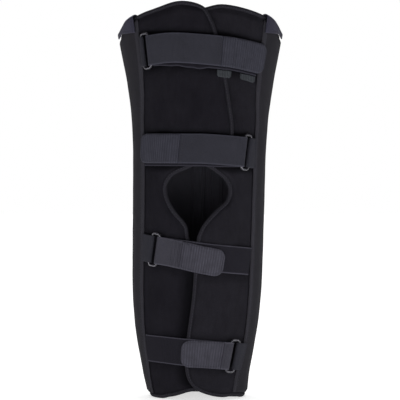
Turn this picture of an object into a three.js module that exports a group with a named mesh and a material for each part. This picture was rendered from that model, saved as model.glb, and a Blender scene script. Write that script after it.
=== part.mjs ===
// Knee immobilizer: a padded back panel and two padded front flaps that wrap the leg, a side band over each
// seam, and four webbing straps that run through a ring and fold back on themselves.
// Millimetres, +Z up the leg, the front faces -Y. It stands on its lower hem, with the origin under its middle.
import * as THREE from 'three';

const { clamp, degToRad, lerp, smoothstep } = THREE.MathUtils;

// Overall form, measured on the skin side of the wall
const LENGTH = 508;
const TOP_WIDTH = 210;
const TOP_DEPTH = 154;
const ROUNDNESS = 2.3;

// Padded wall, its bound edges and the side bands
const PANEL_WALL = 5;
const BINDING_WIDTH = 5;
const BINDING_PROUD = 0.5;
const BAND_THICKNESS = 2.5;
const CAP_THICKNESS = 1.5;
const CAP_SHORTEST_LEG = 6;
const CAP_INNER_LEG = 18;
const CASING_WIDTH = 19;
const CASING_THICKNESS = 2;

// Straps and their rings
const THIGH_STRAP_WIDTH = 38;
const CALF_STRAP_WIDTH = 35;
const STRAP_THICKNESS = 1.6;
const HOOK_END_THICKNESS = 2;
const HOOK_CORNER_RADIUS = 11;
const RING_BAR = 3.2;
const RING_SLOT = 8;
const RING_SIDE_PLAY = 1.2;
const RING_CORNER_RADIUS = 3.4;
const TAB_THICKNESS = 1.4;
const CLOSURE_TAB_THICKNESS = 1.4;
const NARROW_CLOSURE_TAB_WIDTH = 18;
const WIDE_CLOSURE_TAB_WIDTH = 23;
const CLOSURE_TAB_GAP = 0.9;

// Clearances: between edges, between stacked layers, and between the two flaps where one lies on the other
const GAP = 0.3;
const LAYER_GAP = 0.55;
const LINING_GAP = 0.65;
const CAP_CROWN_GAP = 0.8;
const OVERLAP_GAP = 0.7;
const ROOT_GAP = 0.6;
const BAND_END_GAP = 1;
const FOLDED_GAP = 0.8;

// Turns are degrees round the leg from the front centre line, positive towards +X
const SEAM_TURN = 72;
const BAND_REAR_TURN = 109;
const CAP_FRONT_TURN = 48.5;
const CAP_REAR_TURN = 78;

// The cap's lower edge is level, at this share of LENGTH, until its leg is at its shortest
const CAP_BOTTOM = 0.9255;

const INK = '#1d1c22';
const TAPE = '#34333b';
const WEBBING = '#3d3c46';
const HOOK_TAPE = '#4a4954';
const SHINY_WEBBING = '#6d6c7a';
const RING_PLASTIC = '#2c2c30';

const table = (names, rows) => rows.map((row) => Object.fromEntries(names.map((name, i) => [name, row[i]])));

// Horizontal sections going up. up: share of LENGTH. wide and right (shift to +X): shares of half TOP_WIDTH.
// deep and back (shift to +Y): shares of half TOP_DEPTH.
const SECTIONS = table(['up', 'wide', 'deep', 'right', 'back'], [
  [0.00, 0.533, 0.600, -0.030, 0.052],
  [0.07, 0.590, 0.640, -0.048, 0.048],
  [0.14, 0.652, 0.685, -0.048, 0.043],
  [0.20, 0.694, 0.715, -0.044, 0.039],
  [0.30, 0.728, 0.750, -0.035, 0.035],
  [0.45, 0.737, 0.765, -0.021, 0.000],
  [0.60, 0.744, 0.775, -0.009, -0.028],
  [0.70, 0.765, 0.790, -0.001, -0.030],
  [0.80, 0.826, 0.830, 0.004, -0.025],
  [0.90, 0.917, 0.900, 0.003, -0.030],
  [1.00, 1.000, 0.985, 0.000, -0.036],
]);

// Lower and upper hem of the whole brace, as shares of LENGTH, round from the back to the back
const HEMS = table(['turn', 'bottom', 'top'], [
  [-180, 0, 0.885],
  [-140, 0, 0.897],
  [-109, 0, 0.913],
  [-90, 0, 0.921],
  [-72, 0, 0.931],
  [-64, 0, 0.942],
  [-57, 0, 0.956],
  [-50, 0, 0.965],
  [-44, 0, 0.972],
  [-26, 0.009, 0.988],
  [0, 0.010, 0.990],
  [26, 0.006, 0.987],
  [40, 0.0055, 0.977],
  [50, 0.004, 0.967],
  [57, 0.003, 0.9575],
  [64, 0.001, 0.944],
  [72, 0, 0.932],
  [90, 0, 0.922],
  [109, 0, 0.913],
  [140, 0, 0.897],
  [180, 0, 0.885],
]);

// Front edge of each side band, as turns at shares of LENGTH
const BAND_FRONTS = table(['up', 'left', 'right'], [
  [0.00, -61, 43],
  [0.06, -59.5, 46.5],
  [0.10, -57.8, 50.2],
  [0.17, -56.4, 52.5],
  [0.28, -54.6, 52.2],
  [0.50, -53.5, 52.8],
  [0.69, -53.6, 53.4],
  [0.78, -49.8, 49.2],
  [0.90, -46.2, 47.6],
  [1.00, -45.5, 47.2],
]);

// Free edge of each flap from its lower corner to its upper one, and the hems that lead into it.
// The two cutouts between 0.41 and 0.60 make the kneecap opening. turn: degrees, up: share of LENGTH.
const FLAP_COLUMNS = ['turn', 'up'];
const LEFT_FLAP = {
  side: -1,
  bottom: table(FLAP_COLUMNS, [[-72, 0], [-57, 0], [-43, 0.003], [-28, 0.008], [-12, 0.018], [13, 0.030]]),
  edge: table(FLAP_COLUMNS, [
    [23, 0.056],
    [22, 0.170],
    [19.4, 0.290],
    [11, 0.362],
    [-6.5, 0.400],
    [-10.5, 0.441],
    [-21.8, 0.480],
    [-28.2, 0.513],
    [-29.3, 0.542],
    [-23.5, 0.564],
    [-12.5, 0.580],
    [3.4, 0.600],
    [18.5, 0.617],
    [27.5, 0.643],
    [28.6, 0.690],
    [24.5, 0.755],
    [16.4, 0.868],
    [8.0, 0.957],
  ]),
  top: table(FLAP_COLUMNS, [[1.5, 0.988], [-12, 1], [-28, 0.987], [-43, 0.973], [-57, 0.956], [-72, 0.931]]),
  rampFrom: -35,
  rampTo: -18,
  flatAt: 0.425,
  liftedAt: 0.585,
};
const RIGHT_FLAP = {
  side: 1,
  bottom: table(FLAP_COLUMNS, [[72, 0], [57, 0.003], [43, 0.005], [28, 0.006], [14, 0.012], [-1, 0.026]]),
  edge: table(FLAP_COLUMNS, [
    [-9, 0.048],
    [-12.3, 0.096],
    [-8.6, 0.172],
    [-4.6, 0.255],
    [-2.8, 0.340],
    [-1.2, 0.405],
    [3.6, 0.440],
    [15.6, 0.480],
    [24.6, 0.504],
    [27.2, 0.532],
    [23.0, 0.556],
    [12.3, 0.579],
    [2.5, 0.597],
    [-8, 0.621],
    [-14.5, 0.655],
    [-15.5, 0.730],
    [-15, 0.905],
    [-13.5, 0.948],
  ]),
  top: table(FLAP_COLUMNS, [[-9, 0.970], [5, 0.986], [15, 0.993], [40, 0.977], [57, 0.957], [72, 0.932]]),
  rampFrom: 43,
  rampTo: 26,
  flatAt: 0.56,
  liftedAt: 0.413,
};

// Straps. ring: the side that the ring is on (-1 left, 1 right). tab: from the side band's edge to the ring's
// far bar. reach: from the ring to the tip. hook: length of the hook end. lean: slant of ring and tip.
const STRAPS = table(['name', 'width', 'ring', 'tab', 'reach', 'hook', 'lean'], [
  ['thigh', THIGH_STRAP_WIDTH, -1, 4.2, 155.5, 63.5, 0.03],
  ['above_knee', THIGH_STRAP_WIDTH, 1, 10.5, 137.5, 58, 0.09],
  ['below_knee', CALF_STRAP_WIDTH, -1, 13, 85, 54, 0.14],
  ['calf', CALF_STRAP_WIDTH, 1, 11, 58, 50, 0.09],
]);

// Height of each strap's middle, as shares of LENGTH: the layer that folds back over the one that leads in
const STRAP_LINE_COLUMNS = ['turn', 'upper', 'lower'];
const STRAP_LINES = {
  thigh: table(STRAP_LINE_COLUMNS, [
    [-50, 0.875, 0.875], [-38, 0.879, 0.878], [-20, 0.884, 0.878], [0, 0.880, 0.873], [22, 0.8725, 0.866],
    [56, 0.856, 0.850],
  ]),
  above_knee: table(STRAP_LINE_COLUMNS, [
    [-59, 0.6355, 0.629], [-20, 0.6335, 0.627], [0, 0.633, 0.6265], [20, 0.6295, 0.6245], [40, 0.6245, 0.6245],
    [56, 0.621, 0.621],
  ]),
  below_knee: table(STRAP_LINE_COLUMNS, [
    [-56, 0.386, 0.386], [-38, 0.379, 0.379], [-15, 0.367, 0.370], [2, 0.356, 0.3635], [23, 0.3445, 0.3565],
    [54, 0.330, 0.348],
  ]),
  calf: table(STRAP_LINE_COLUMNS, [
    [-58, 0.122, 0.129], [-32, 0.121, 0.126], [-15, 0.119, 0.123], [0, 0.1178, 0.120], [34, 0.1114, 0.1114],
    [54, 0.106, 0.106],
  ]),
};

// Hook tabs on the flaps, just under the thigh strap: turn of the middle, and how far the tab hangs
const CLOSURE_TABS = table(['name', 'turn', 'width', 'drop'], [
  ['left', 18, NARROW_CLOSURE_TAB_WIDTH, 9],
  ['right', 39, WIDE_CLOSURE_TAB_WIDTH, 12],
]);

// Casings of the two back stays, on the skin side: turn of the middle, lower and upper end
const BACK_CASINGS = table(['name', 'turn', 'from', 'to'], [
  ['left', 180.5, 0.12, 0.82],
  ['right', 162.5, 0.12, 0.82],
]);

// Mesh steps
const EDGE_STEPS = 2;
const BACK_COLUMNS = 16;
const BACK_ROWS = 16;
const BAND_COLUMNS = 10;
const BAND_ROWS = 16;
const STRAP_STEP = 7;
const FOLD_STEPS = 5;
const WIDTH_STATIONS = [-0.5, 0, 0.5];
const RING_SIDES = 6;

// Smooth curve without overshoot through the rows of a table, column y over column x
function smoothColumn(rows, x, y) {
  const slopes = rows.slice(1).map((row, i) => (row[y] - rows[i][y]) / (row[x] - rows[i][x]));
  const tangents = rows.map((row, i) => {
    const before = slopes[Math.max(i - 1, 0)];
    const after = slopes[Math.min(i, slopes.length - 1)];
    return before * after <= 0 ? 0 : 2 * before * after / (before + after);
  });
  return (at) => {
    const value = clamp(at, rows[0][x], rows.at(-1)[x]);
    const i = Math.max(rows.findIndex((row) => row[x] >= value), 1) - 1;
    const span = rows[i + 1][x] - rows[i][x];
    const t = (value - rows[i][x]) / span;
    const rise = rows[i + 1][y] - rows[i][y];
    const blend = t * t * (3 - 2 * t) * rise;
    return rows[i][y] + blend + span * t * (1 - t) * ((1 - t) * tangents[i] - t * tangents[i + 1]);
  };
}

// Smooth step from 0 at `from` to 1 at `to`, whichever is larger
function ease(value, from, to) {
  return smoothstep((value - from) / (to - from), 0, 1);
}

const wideAt = smoothColumn(SECTIONS, 'up', 'wide');
const deepAt = smoothColumn(SECTIONS, 'up', 'deep');
const rightAt = smoothColumn(SECTIONS, 'up', 'right');
const backAt = smoothColumn(SECTIONS, 'up', 'back');
const bottomHemAt = smoothColumn(HEMS, 'turn', 'bottom');
const topHemAt = smoothColumn(HEMS, 'turn', 'top');
const leftBandFrontAt = smoothColumn(BAND_FRONTS, 'up', 'left');
const rightBandFrontAt = smoothColumn(BAND_FRONTS, 'up', 'right');

// Point at `out` from the skin side of the wall, at a turn and a height
function skin(turn, z, out) {
  const up = z / LENGTH;
  const halfWidth = wideAt(up) * TOP_WIDTH / 2;
  const halfDepth = deepAt(up) * TOP_DEPTH / 2;
  const angle = degToRad(turn);
  const sine = Math.sin(angle);
  const cosine = Math.cos(angle);
  const reach = (Math.abs(sine) ** ROUNDNESS + Math.abs(cosine) ** ROUNDNESS) ** (-1 / ROUNDNESS);
  const x = halfWidth * sine * reach;
  const y = -halfDepth * cosine * reach;
  const normal = new THREE.Vector2(
    Math.sign(x) * Math.abs(x / halfWidth) ** (ROUNDNESS - 1) / halfWidth,
    Math.sign(y) * Math.abs(y / halfDepth) ** (ROUNDNESS - 1) / halfDepth,
  ).normalize();
  return new THREE.Vector3(
    rightAt(up) * TOP_WIDTH / 2 + x + normal.x * out,
    backAt(up) * TOP_DEPTH / 2 + y + normal.y * out,
    z,
  );
}

// Millimetres round the wall for one degree of turn
function arcPerDegree(turn, z) {
  return skin(turn + 0.5, z, PANEL_WALL).distanceTo(skin(turn - 0.5, z, PANEL_WALL));
}

function wrapTurn(turn) {
  return turn > 180 ? turn - 360 : turn;
}

// How far a flap is lifted off the leg where it lies on the other flap
const OVERLAP_LIFT = PANEL_WALL + 2 * BINDING_PROUD + OVERLAP_GAP;
function flapLift(flap, turn, z) {
  const across = ease(turn, flap.rampFrom, flap.rampTo);
  const along = ease(z / LENGTH, flap.flatAt, flap.liftedAt);
  return OVERLAP_LIFT * across * along;
}

function noLift() {
  return 0;
}

// Closed solid through loops of equal length. Each loop runs out along one face and back along the other, so
// the ends are closed by rungs from its first points to its last. A closed loft joins its last loop to its first.
function loft(loops, closed = false) {
  const size = loops[0].length;
  const positions = loops.flat().flatMap((point) => [point.x, point.y, point.z]);
  const triangles = [];
  const quad = (a, b, c, d) => triangles.push([a, b, c], [a, c, d]);
  const joins = closed ? loops.length : loops.length - 1;
  for (let i = 0; i < joins; i++) {
    const next = (i + 1) % loops.length;
    for (let j = 0; j < size; j++) {
      const after = (j + 1) % size;
      quad(i * size + j, i * size + after, next * size + after, next * size + j);
    }
  }
  if (!closed) {
    const last = (loops.length - 1) * size;
    for (let j = 0; j < size / 2 - 1; j++) {
      quad(j, size - 1 - j, size - 2 - j, j + 1);
      quad(last + j, last + j + 1, last + size - 2 - j, last + size - 1 - j);
    }
  }
  if (signedVolume(positions, triangles) < 0) triangles.forEach((triangle) => triangle.reverse());
  const geometry = new THREE.BufferGeometry();
  geometry.setAttribute('position', new THREE.Float32BufferAttribute(positions, 3));
  geometry.setIndex(triangles.flat());
  geometry.computeVertexNormals();
  return geometry;
}

function signedVolume(positions, triangles) {
  const corner = (i) => new THREE.Vector3().fromArray(positions, i * 3);
  return triangles.reduce((sum, [a, b, c]) => sum + corner(a).dot(corner(b).cross(corner(c))), 0) / 6;
}

// Wall through rows of { turn, z }, between two offsets that ride on a lift
function wall(rows, from, to, lift) {
  return loft(rows.map((row) => {
    const face = (out) => row.map(({ turn, z }) => skin(turn, z, out + lift(turn, z)));
    return [...face(to), ...face(from).reverse()];
  }));
}

function steps(count) {
  return Array.from({ length: count + 1 }, (_, i) => i / count);
}

// Direction into the panel at each point of an edge path, in turn and height per millimetre, and straight up
// or down at its two ends. hand is 1 where the panel lies to the left of the path and -1 where to the right.
function withInward(path, hand, firstZ, lastZ) {
  const inward = path.map((point, i) => {
    const before = path[Math.max(i - 1, 0)];
    const after = path[Math.min(i + 1, path.length - 1)];
    const arc = arcPerDegree(point.turn, point.z);
    const round = (after.turn - before.turn) * arc;
    const rise = after.z - before.z;
    const length = Math.hypot(round, rise);
    return { ...point, inTurn: -hand * rise / length / arc, inZ: hand * round / length };
  });
  Object.assign(inward[0], { inTurn: 0, inZ: firstZ });
  Object.assign(inward.at(-1), { inTurn: 0, inZ: lastZ });
  return inward;
}

function inset(point, distance) {
  return { turn: point.turn + point.inTurn * distance, z: point.z + point.inZ * distance };
}

// Folded tape over the edge of the wall, swept along an edge path
function binding(path, lift) {
  const outside = PANEL_WALL + BINDING_PROUD;
  const round = BINDING_WIDTH / 4;
  const section = [
    [BINDING_WIDTH, -BINDING_PROUD],
    [round, -BINDING_PROUD],
    [0, PANEL_WALL / 4],
    [0, PANEL_WALL * 3 / 4],
    [round, outside],
    [BINDING_WIDTH, outside],
  ];
  return loft(path.map((point) => section.map(([inward, out]) => {
    const { turn, z } = inset(point, inward);
    return skin(turn, z, out + lift(turn, z));
  })));
}

// Flaps. Towards the side seam their hems run into the hem of the whole brace.
const HEM_BLEND_FROM = 34;
const HEM_BLEND_TO = 52;
const seamClear = GAP / 2 / arcPerDegree(SEAM_TURN, 0);

function flapPath(flap) {
  const rows = [...flap.bottom, ...flap.edge, ...flap.top];
  const points = rows.map(({ turn, up }) => new THREE.Vector3(turn, up * LENGTH, 0));
  const curve = new THREE.CatmullRomCurve3(points);
  const seam = SEAM_TURN - seamClear;
  const path = steps((rows.length - 1) * EDGE_STEPS).map((t) => {
    const point = curve.getPoint(t);
    const turn = clamp(point.x, -seam, seam);
    const hem = (t < 0.5 ? bottomHemAt(turn) : topHemAt(turn)) * LENGTH;
    const z = Math.max(lerp(point.y, hem, ease(Math.abs(turn), HEM_BLEND_FROM, HEM_BLEND_TO)), 0);
    return { turn, z };
  });
  return withInward(path, -flap.side, 1, -1);
}

// The flap's padded wall is a patch between the side seam and the bound edge
function flapRows(flap, path) {
  const rim = path.map((point) => inset(point, BINDING_WIDTH + GAP));
  const hemSteps = (flap.bottom.length - 1) * EDGE_STEPS;
  const bottom = rim.slice(0, hemSteps + 1);
  const edge = rim.slice(hemSteps, rim.length - hemSteps);
  const top = rim.slice(rim.length - hemSteps - 1).reverse();
  const [low, high] = [edge[0].z, edge.at(-1).z];
  return edge.map((edgePoint) => {
    const v = (edgePoint.z - low) / (high - low);
    const sidePoint = { turn: bottom[0].turn, z: lerp(bottom[0].z, top[0].z, v) };
    return bottom.map((bottomPoint, i) => {
      const u = i / hemSteps;
      const blend = (key) => lerp(bottomPoint[key], top[i][key], v) + lerp(sidePoint[key], edgePoint[key], u)
        - lerp(lerp(bottom[0][key], bottom.at(-1)[key], u), lerp(top[0][key], top.at(-1)[key], u), v);
      return { turn: blend('turn'), z: blend('z') };
    });
  });
}

// Turn of a flap's free edge at a height
function flapEdgeAt(flap) {
  const rows = [flap.bottom.at(-1), ...flap.edge, flap.top[0]];
  return smoothColumn(rows, 'up', 'turn');
}

// Back panel, from seam to seam round the back
function hemPath(column, hand) {
  const from = SEAM_TURN + seamClear;
  const path = steps(BACK_COLUMNS).map((t) => {
    const turn = lerp(from, 360 - from, t);
    return { turn, z: column(wrapTurn(turn)) * LENGTH };
  });
  return withInward(path, hand, hand, hand);
}

function backRows(bottomPath, topPath) {
  return steps(BACK_ROWS).map((v) => bottomPath.map((low, i) => {
    const from = inset(low, BINDING_WIDTH + GAP);
    const to = inset(topPath[i], BINDING_WIDTH + GAP);
    return { turn: lerp(from.turn, to.turn, v), z: lerp(from.z, to.z, v) };
  }));
}

// Side bands, with the pockets of the side stays
const BAND_INSIDE = PANEL_WALL + LAYER_GAP;
const BAND_OUTSIDE = BAND_INSIDE + BAND_THICKNESS;

function bandFrontAt(side, z) {
  return side < 0 ? leftBandFrontAt(z / LENGTH) : rightBandFrontAt(z / LENGTH);
}

function bandRows(side) {
  const margin = BINDING_WIDTH + BAND_END_GAP;
  const heightAt = (turn, v) => lerp(bottomHemAt(turn) * LENGTH + margin, topHemAt(turn) * LENGTH - margin, v);
  return steps(BAND_ROWS).map((v) => {
    const guess = bandFrontAt(side, heightAt(side * SEAM_TURN, v));
    const front = bandFrontAt(side, heightAt(guess, v));
    return steps(BAND_COLUMNS).map((u) => {
      const turn = lerp(front, side * BAND_REAR_TURN, u);
      return { turn, z: heightAt(turn, v) };
    });
  });
}

// Cap: webbing folded over the top of a side band, down the outside and the inside
function bandCap(side) {
  const outside = BAND_OUTSIDE + LAYER_GAP;
  const lining = -BINDING_PROUD - LINING_GAP;
  const inside = lining - CAP_THICKNESS;
  const over = CAP_CROWN_GAP + CAP_THICKNESS;
  return loft(steps(6).map((t) => {
    const turn = side * lerp(CAP_FRONT_TURN, CAP_REAR_TURN, t);
    const hem = topHemAt(turn) * LENGTH;
    const bottom = Math.min(CAP_BOTTOM * LENGTH - hem, -CAP_SHORTEST_LEG);
    const section = [
      [outside, bottom],
      [outside, CAP_CROWN_GAP],
      [PANEL_WALL / 2, CAP_CROWN_GAP],
      [lining, CAP_CROWN_GAP],
      [lining, -CAP_INNER_LEG],
      [inside, -CAP_INNER_LEG],
      [inside, CAP_CROWN_GAP],
      [PANEL_WALL / 2 - over / 2, over],
      [outside, over],
      [outside + CAP_THICKNESS, bottom],
    ];
    return section.map(([out, rise]) => skin(turn, hem + rise, out));
  }));
}

// Casing of a back stay, sewn to the skin side
function backCasing({ turn, from, to }) {
  const rows = steps(10).map((v) => [-0.5, 0.5].map((across) => {
    const z = lerp(from, to, v) * LENGTH;
    return { turn: turn + across * CASING_WIDTH / arcPerDegree(turn, z), z };
  }));
  return wall(rows, -LINING_GAP - CASING_THICKNESS, -LINING_GAP, noLift);
}

// Outer face of whichever flap lies on top at a place
const leftEdgeAt = flapEdgeAt(LEFT_FLAP);
const rightEdgeAt = flapEdgeAt(RIGHT_FLAP);

function flapTop(turn, z) {
  const near = 2 * BINDING_WIDTH / arcPerDegree(turn, z);
  const tops = [[LEFT_FLAP, leftEdgeAt(z / LENGTH) - turn], [RIGHT_FLAP, turn - rightEdgeAt(z / LENGTH)]]
    .filter(([, inside]) => inside > -near / 2)
    .map(([flap, inside]) => PANEL_WALL + flapLift(flap, turn, z) + (inside < near ? BINDING_PROUD : 0));
  return Math.max(PANEL_WALL, ...tops);
}

// Distances along a strap's line, in millimetres from the front centre line
function ruler(line) {
  const upperAt = smoothColumn(line, 'turn', 'upper');
  const rows = [{ turn: -120, s: 0 }];
  for (let turn = -119; turn <= 120; turn++) {
    const z = upperAt(turn) * LENGTH;
    const step = skin(turn, z, BAND_OUTSIDE).distanceTo(skin(turn - 1, z, BAND_OUTSIDE));
    rows.push({ turn, s: rows.at(-1).s + step });
  }
  const middle = rows[120].s;
  rows.forEach((row) => { row.s -= middle; });
  return { turnAt: smoothColumn(rows, 's', 'turn'), distanceAt: smoothColumn(rows, 'turn', 's') };
}

// A function raised to its highest value nearby and then evened out, so that webbing bridges the steps below it
function bridged(height, span) {
  const offsets = [-1, -0.67, -0.33, 0, 0.33, 0.67, 1].map((share) => share * span);
  const raised = (s) => Math.max(...offsets.map((offset) => height(s + offset)));
  return (s) => offsets.reduce((sum, offset) => sum + raised(s + offset), 0) / offsets.length;
}

const BRIDGE_SPAN = 12;
const FOLD_EASE = 18;

// One strap's layout: distances run from left to right, and `away` points from the ring to the tip
function strapLayout({ name, width, ring, tab, reach, hook, lean }) {
  const line = STRAP_LINES[name];
  const upperAt = smoothColumn(line, 'turn', 'upper');
  const lowerAt = smoothColumn(line, 'turn', 'lower');
  const { turnAt, distanceAt } = ruler(line);
  const away = -ring;
  const middleZ = (layer, s) => layer(turnAt(s)) * LENGTH;
  const place = (layer) => (s, w, out) => {
    const z = middleZ(layer, s) + w;
    return skin(turnAt(s + lean * w), z, out);
  };
  const bandEdge = (side, layer, w) => {
    const guess = distanceAt(bandFrontAt(side, middleZ(layer, distanceAt(side * 52)) + w));
    return distanceAt(bandFrontAt(side, middleZ(layer, guess) + w)) - lean * w;
  };
  const widths = [-0.5, -0.25, 0, 0.25, 0.5].map((share) => share * width);
  const flapsBelow = (s) => Math.max(...[upperAt, lowerAt].flatMap((layer) => widths.map(
    (w) => flapTop(turnAt(s + lean * w), middleZ(layer, s) + w),
  )));
  const seat = bridged((s) => flapsBelow(s) + LAYER_GAP, BRIDGE_SPAN);

  const farBar = Math.max(...widths.map((w) => away * bandEdge(ring, upperAt, w))) * away + away * tab;
  const nearBar = farBar + away * (RING_SLOT + RING_BAR);
  const barRadius = RING_BAR / 2 + GAP;
  const barHeight = (s, webbing) => seat(s) + webbing + barRadius;
  const tip = nearBar + away * reach;
  const joint = tip - away * hook;

  const bandBelow = (s) => {
    const past = Math.max(...widths.map((w) => away * (s - bandEdge(away, upperAt, w))));
    return past > -GAP ? BAND_OUTSIDE + LAYER_GAP : 0;
  };
  const overBand = bridged(bandBelow, BRIDGE_SPAN / 2);
  const upperSeat = (s) => {
    const flat = Math.max(seat(s) + STRAP_THICKNESS + FOLDED_GAP, overBand(s));
    const folded = barHeight(nearBar, STRAP_THICKNESS) + barRadius;
    return lerp(folded, flat, ease(Math.abs(s - nearBar), 0, FOLD_EASE));
  };
  return {
    name, width, ring, away, lean, upperAt, lowerAt, place, bandEdge, seat, upperSeat, barHeight, barRadius,
    farBar, nearBar, tip, joint,
  };
}

function stepCount(from, to) {
  return Math.max(Math.ceil(Math.abs(to - from) / STRAP_STEP), 2);
}

function between(from, to, count) {
  return steps(count).map((t) => lerp(from, to, t));
}

// Half circle round a ring bar, from below it to above it, on the side away from `legs`
function foldRound(bar, height, radius, legs) {
  return steps(FOLD_STEPS).map((t) => {
    const angle = Math.PI * (t - 0.5);
    return { s: bar - legs * Math.cos(angle) * radius, out: height + Math.sin(angle) * radius };
  });
}

// Webbing that comes in over the flaps, goes round the ring's near bar and folds back on itself
function strapSolid(strap) {
  const { away, nearBar, barRadius, joint, lowerAt, upperAt } = strap;
  const height = strap.barHeight(nearBar, STRAP_THICKNESS);
  const upperPlace = strap.place(upperAt);
  const lowerPlace = strap.place(lowerAt);
  const rootAt = (w) => strap.bandEdge(away, lowerAt, w) - away * ROOT_GAP;
  const lowerSteps = stepCount(rootAt(0), nearBar);
  const upperSteps = stepCount(nearBar, joint);
  return loft(WIDTH_STATIONS.map((share) => {
    const w = share * strap.width;
    const lower = between(rootAt(w), nearBar, lowerSteps).slice(0, -1);
    const upper = between(nearBar, joint, upperSteps).slice(1);
    const face = (lowerLift, radius, upperLift) => [
      ...lower.map((s) => lowerPlace(s, w, strap.seat(s) + lowerLift)),
      ...foldRound(nearBar, height, radius, away).map(({ s, out }) => upperPlace(s, w, out)),
      ...upper.map((s) => upperPlace(s, w, strap.upperSeat(s) + upperLift)),
    ];
    const outer = face(0, barRadius + STRAP_THICKNESS, STRAP_THICKNESS);
    const inner = face(STRAP_THICKNESS, barRadius, 0);
    return [...outer, ...inner.reverse()];
  }));
}

// Hook end of a strap, with rounded corners at the tip
function hookEnd(strap) {
  const { away, joint, tip, width } = strap;
  const place = strap.place(strap.upperAt);
  const cornerStart = tip - away * HOOK_CORNER_RADIUS;
  const start = joint + away * GAP;
  const straight = between(start, cornerStart, stepCount(start, cornerStart));
  const rounded = steps(4).slice(1).map((t) => cornerStart + away * HOOK_CORNER_RADIUS * Math.sin(t * Math.PI / 2));
  return loft([...straight, ...rounded].map((s) => {
    const into = clamp(away * (s - cornerStart) / HOOK_CORNER_RADIUS, 0, 1);
    const half = width / 2 - HOOK_CORNER_RADIUS * (1 - Math.sqrt(1 - into * into));
    const face = (lift) => [-half, 0, half].map((w) => place(s, w, strap.upperSeat(s) + lift));
    return [...face(HOOK_END_THICKNESS), ...face(0).reverse()];
  }));
}

// Short webbing loop that holds the ring's far bar to the side band
function ringTab(strap) {
  const { ring, farBar, upperAt } = strap;
  const place = strap.place(upperAt);
  const radius = RING_BAR / 2 + GAP;
  const height = strap.barHeight(farBar, STRAP_THICKNESS);
  const legSteps = [0, 0.35, 0.7, 1];
  return loft(WIDTH_STATIONS.map((share) => {
    const w = share * (strap.width - GAP);
    const root = strap.bandEdge(ring, upperAt, w) - ring * ROOT_GAP;
    const face = (side) => {
      const fold = side > 0 ? radius + TAB_THICKNESS : radius;
      const under = height - radius - TAB_THICKNESS;
      const stack = strap.seat(farBar) + TAB_THICKNESS + LAYER_GAP;
      const lowerLeg = legSteps.slice(0, -1).map((t) => {
        const lift = lerp(strap.seat(root), under, t) + (side > 0 ? 0 : TAB_THICKNESS);
        return place(lerp(root, farBar, t), w, lift);
      });
      const upperLeg = legSteps.slice(1).map((t) => {
        const lift = lerp(height + radius, stack, ease(t, 0, 1)) + (side > 0 ? TAB_THICKNESS : 0);
        return place(lerp(farBar, root, t), w, lift);
      });
      const turned = foldRound(farBar, height, fold, ring).map(({ s, out }) => place(s, w, out));
      return [...lowerLeg, ...turned, ...upperLeg];
    };
    return [...face(1), ...face(-1).reverse()];
  }));
}

// Flat rectangular ring with rounded corners
function ringSolid(strap) {
  const { farBar, nearBar, width, upperAt } = strap;
  const place = strap.place(upperAt);
  const heightAt = (s) => strap.barHeight(s, STRAP_THICKNESS);
  const middle = (farBar + nearBar) / 2;
  const halfAcross = Math.abs(nearBar - farBar) / 2;
  const halfLong = width / 2 + RING_SIDE_PLAY + RING_BAR / 2;
  const corner = RING_CORNER_RADIUS;
  const centreline = [];
  for (const [signS, signW, start] of [[1, 1, 0], [-1, 1, 90], [-1, -1, 180], [1, -1, 270]]) {
    for (const t of steps(3)) {
      const angle = degToRad(start + t * 90);
      centreline.push({
        s: middle + signS * (halfAcross - corner) + Math.cos(angle) * corner,
        w: signW * (halfLong - corner) + Math.sin(angle) * corner,
        alongS: Math.cos(angle),
        alongW: Math.sin(angle),
      });
    }
  }
  const slope = (heightAt(nearBar) - heightAt(farBar)) / (nearBar - farBar);
  return loft(centreline.map(({ s, w, alongS, alongW }) => {
    const out = heightAt(farBar) + slope * (s - farBar);
    return steps(RING_SIDES).slice(1).map((t) => {
      const angle = (t + 0.5 / RING_SIDES) * 2 * Math.PI;
      const side = Math.cos(angle) * RING_BAR / 2;
      return place(s + alongS * side, w + alongW * side, out + Math.sin(angle) * RING_BAR / 2);
    });
  }), true);
}

// Small hook tab on a flap, just under the thigh strap
function closureTab({ turn, width, drop }) {
  const strap = STRAP_LAYOUTS[0];
  const topAt = (at) => strap.lowerAt(at) * LENGTH - strap.width / 2 - CLOSURE_TAB_GAP;
  const half = width / 2 / arcPerDegree(turn, topAt(turn));
  const rows = [0, 0.4, 0.8, 1].map((down, i, list) => {
    const narrow = i === list.length - 1 ? 0.8 : 1;
    const reach = [-1, -0.5, 0, 0.5, 1].map((across) => turn + across * half * narrow);
    return reach.map((at) => ({ turn: at, z: topAt(at) - down * drop }));
  });
  const seat = Math.max(...rows.flat().map((point) => flapTop(point.turn, point.z))) + LAYER_GAP;
  return wall(rows, seat, seat + CLOSURE_TAB_THICKNESS, noLift);
}

// Assembly
const group = new THREE.Group();

function add(name, geometry, color, roughness) {
  const mesh = new THREE.Mesh(geometry, new THREE.MeshStandardMaterial({ color, roughness, metalness: 0 }));
  mesh.name = name;
  group.add(mesh);
}

const backBottom = hemPath(bottomHemAt, 1);
const backTop = hemPath(topHemAt, -1);
add('back_panel', wall(backRows(backBottom, backTop), 0, PANEL_WALL, noLift), INK, 0.9);
add('binding_back_bottom', binding(backBottom, noLift), TAPE, 0.75);
add('binding_back_top', binding(backTop, noLift), TAPE, 0.75);

for (const [name, flap] of [['left', LEFT_FLAP], ['right', RIGHT_FLAP]]) {
  const path = flapPath(flap);
  const lift = (turn, z) => flapLift(flap, turn, z);
  add(`${name}_flap`, wall(flapRows(flap, path), 0, PANEL_WALL, lift), INK, 0.9);
  add(`binding_${name}`, binding(path, lift), TAPE, 0.75);
  add(`side_band_${name}`, wall(bandRows(flap.side), BAND_INSIDE, BAND_OUTSIDE, noLift), TAPE, 0.85);
  add(`band_cap_${name}`, bandCap(flap.side), SHINY_WEBBING, 0.5);
}

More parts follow.
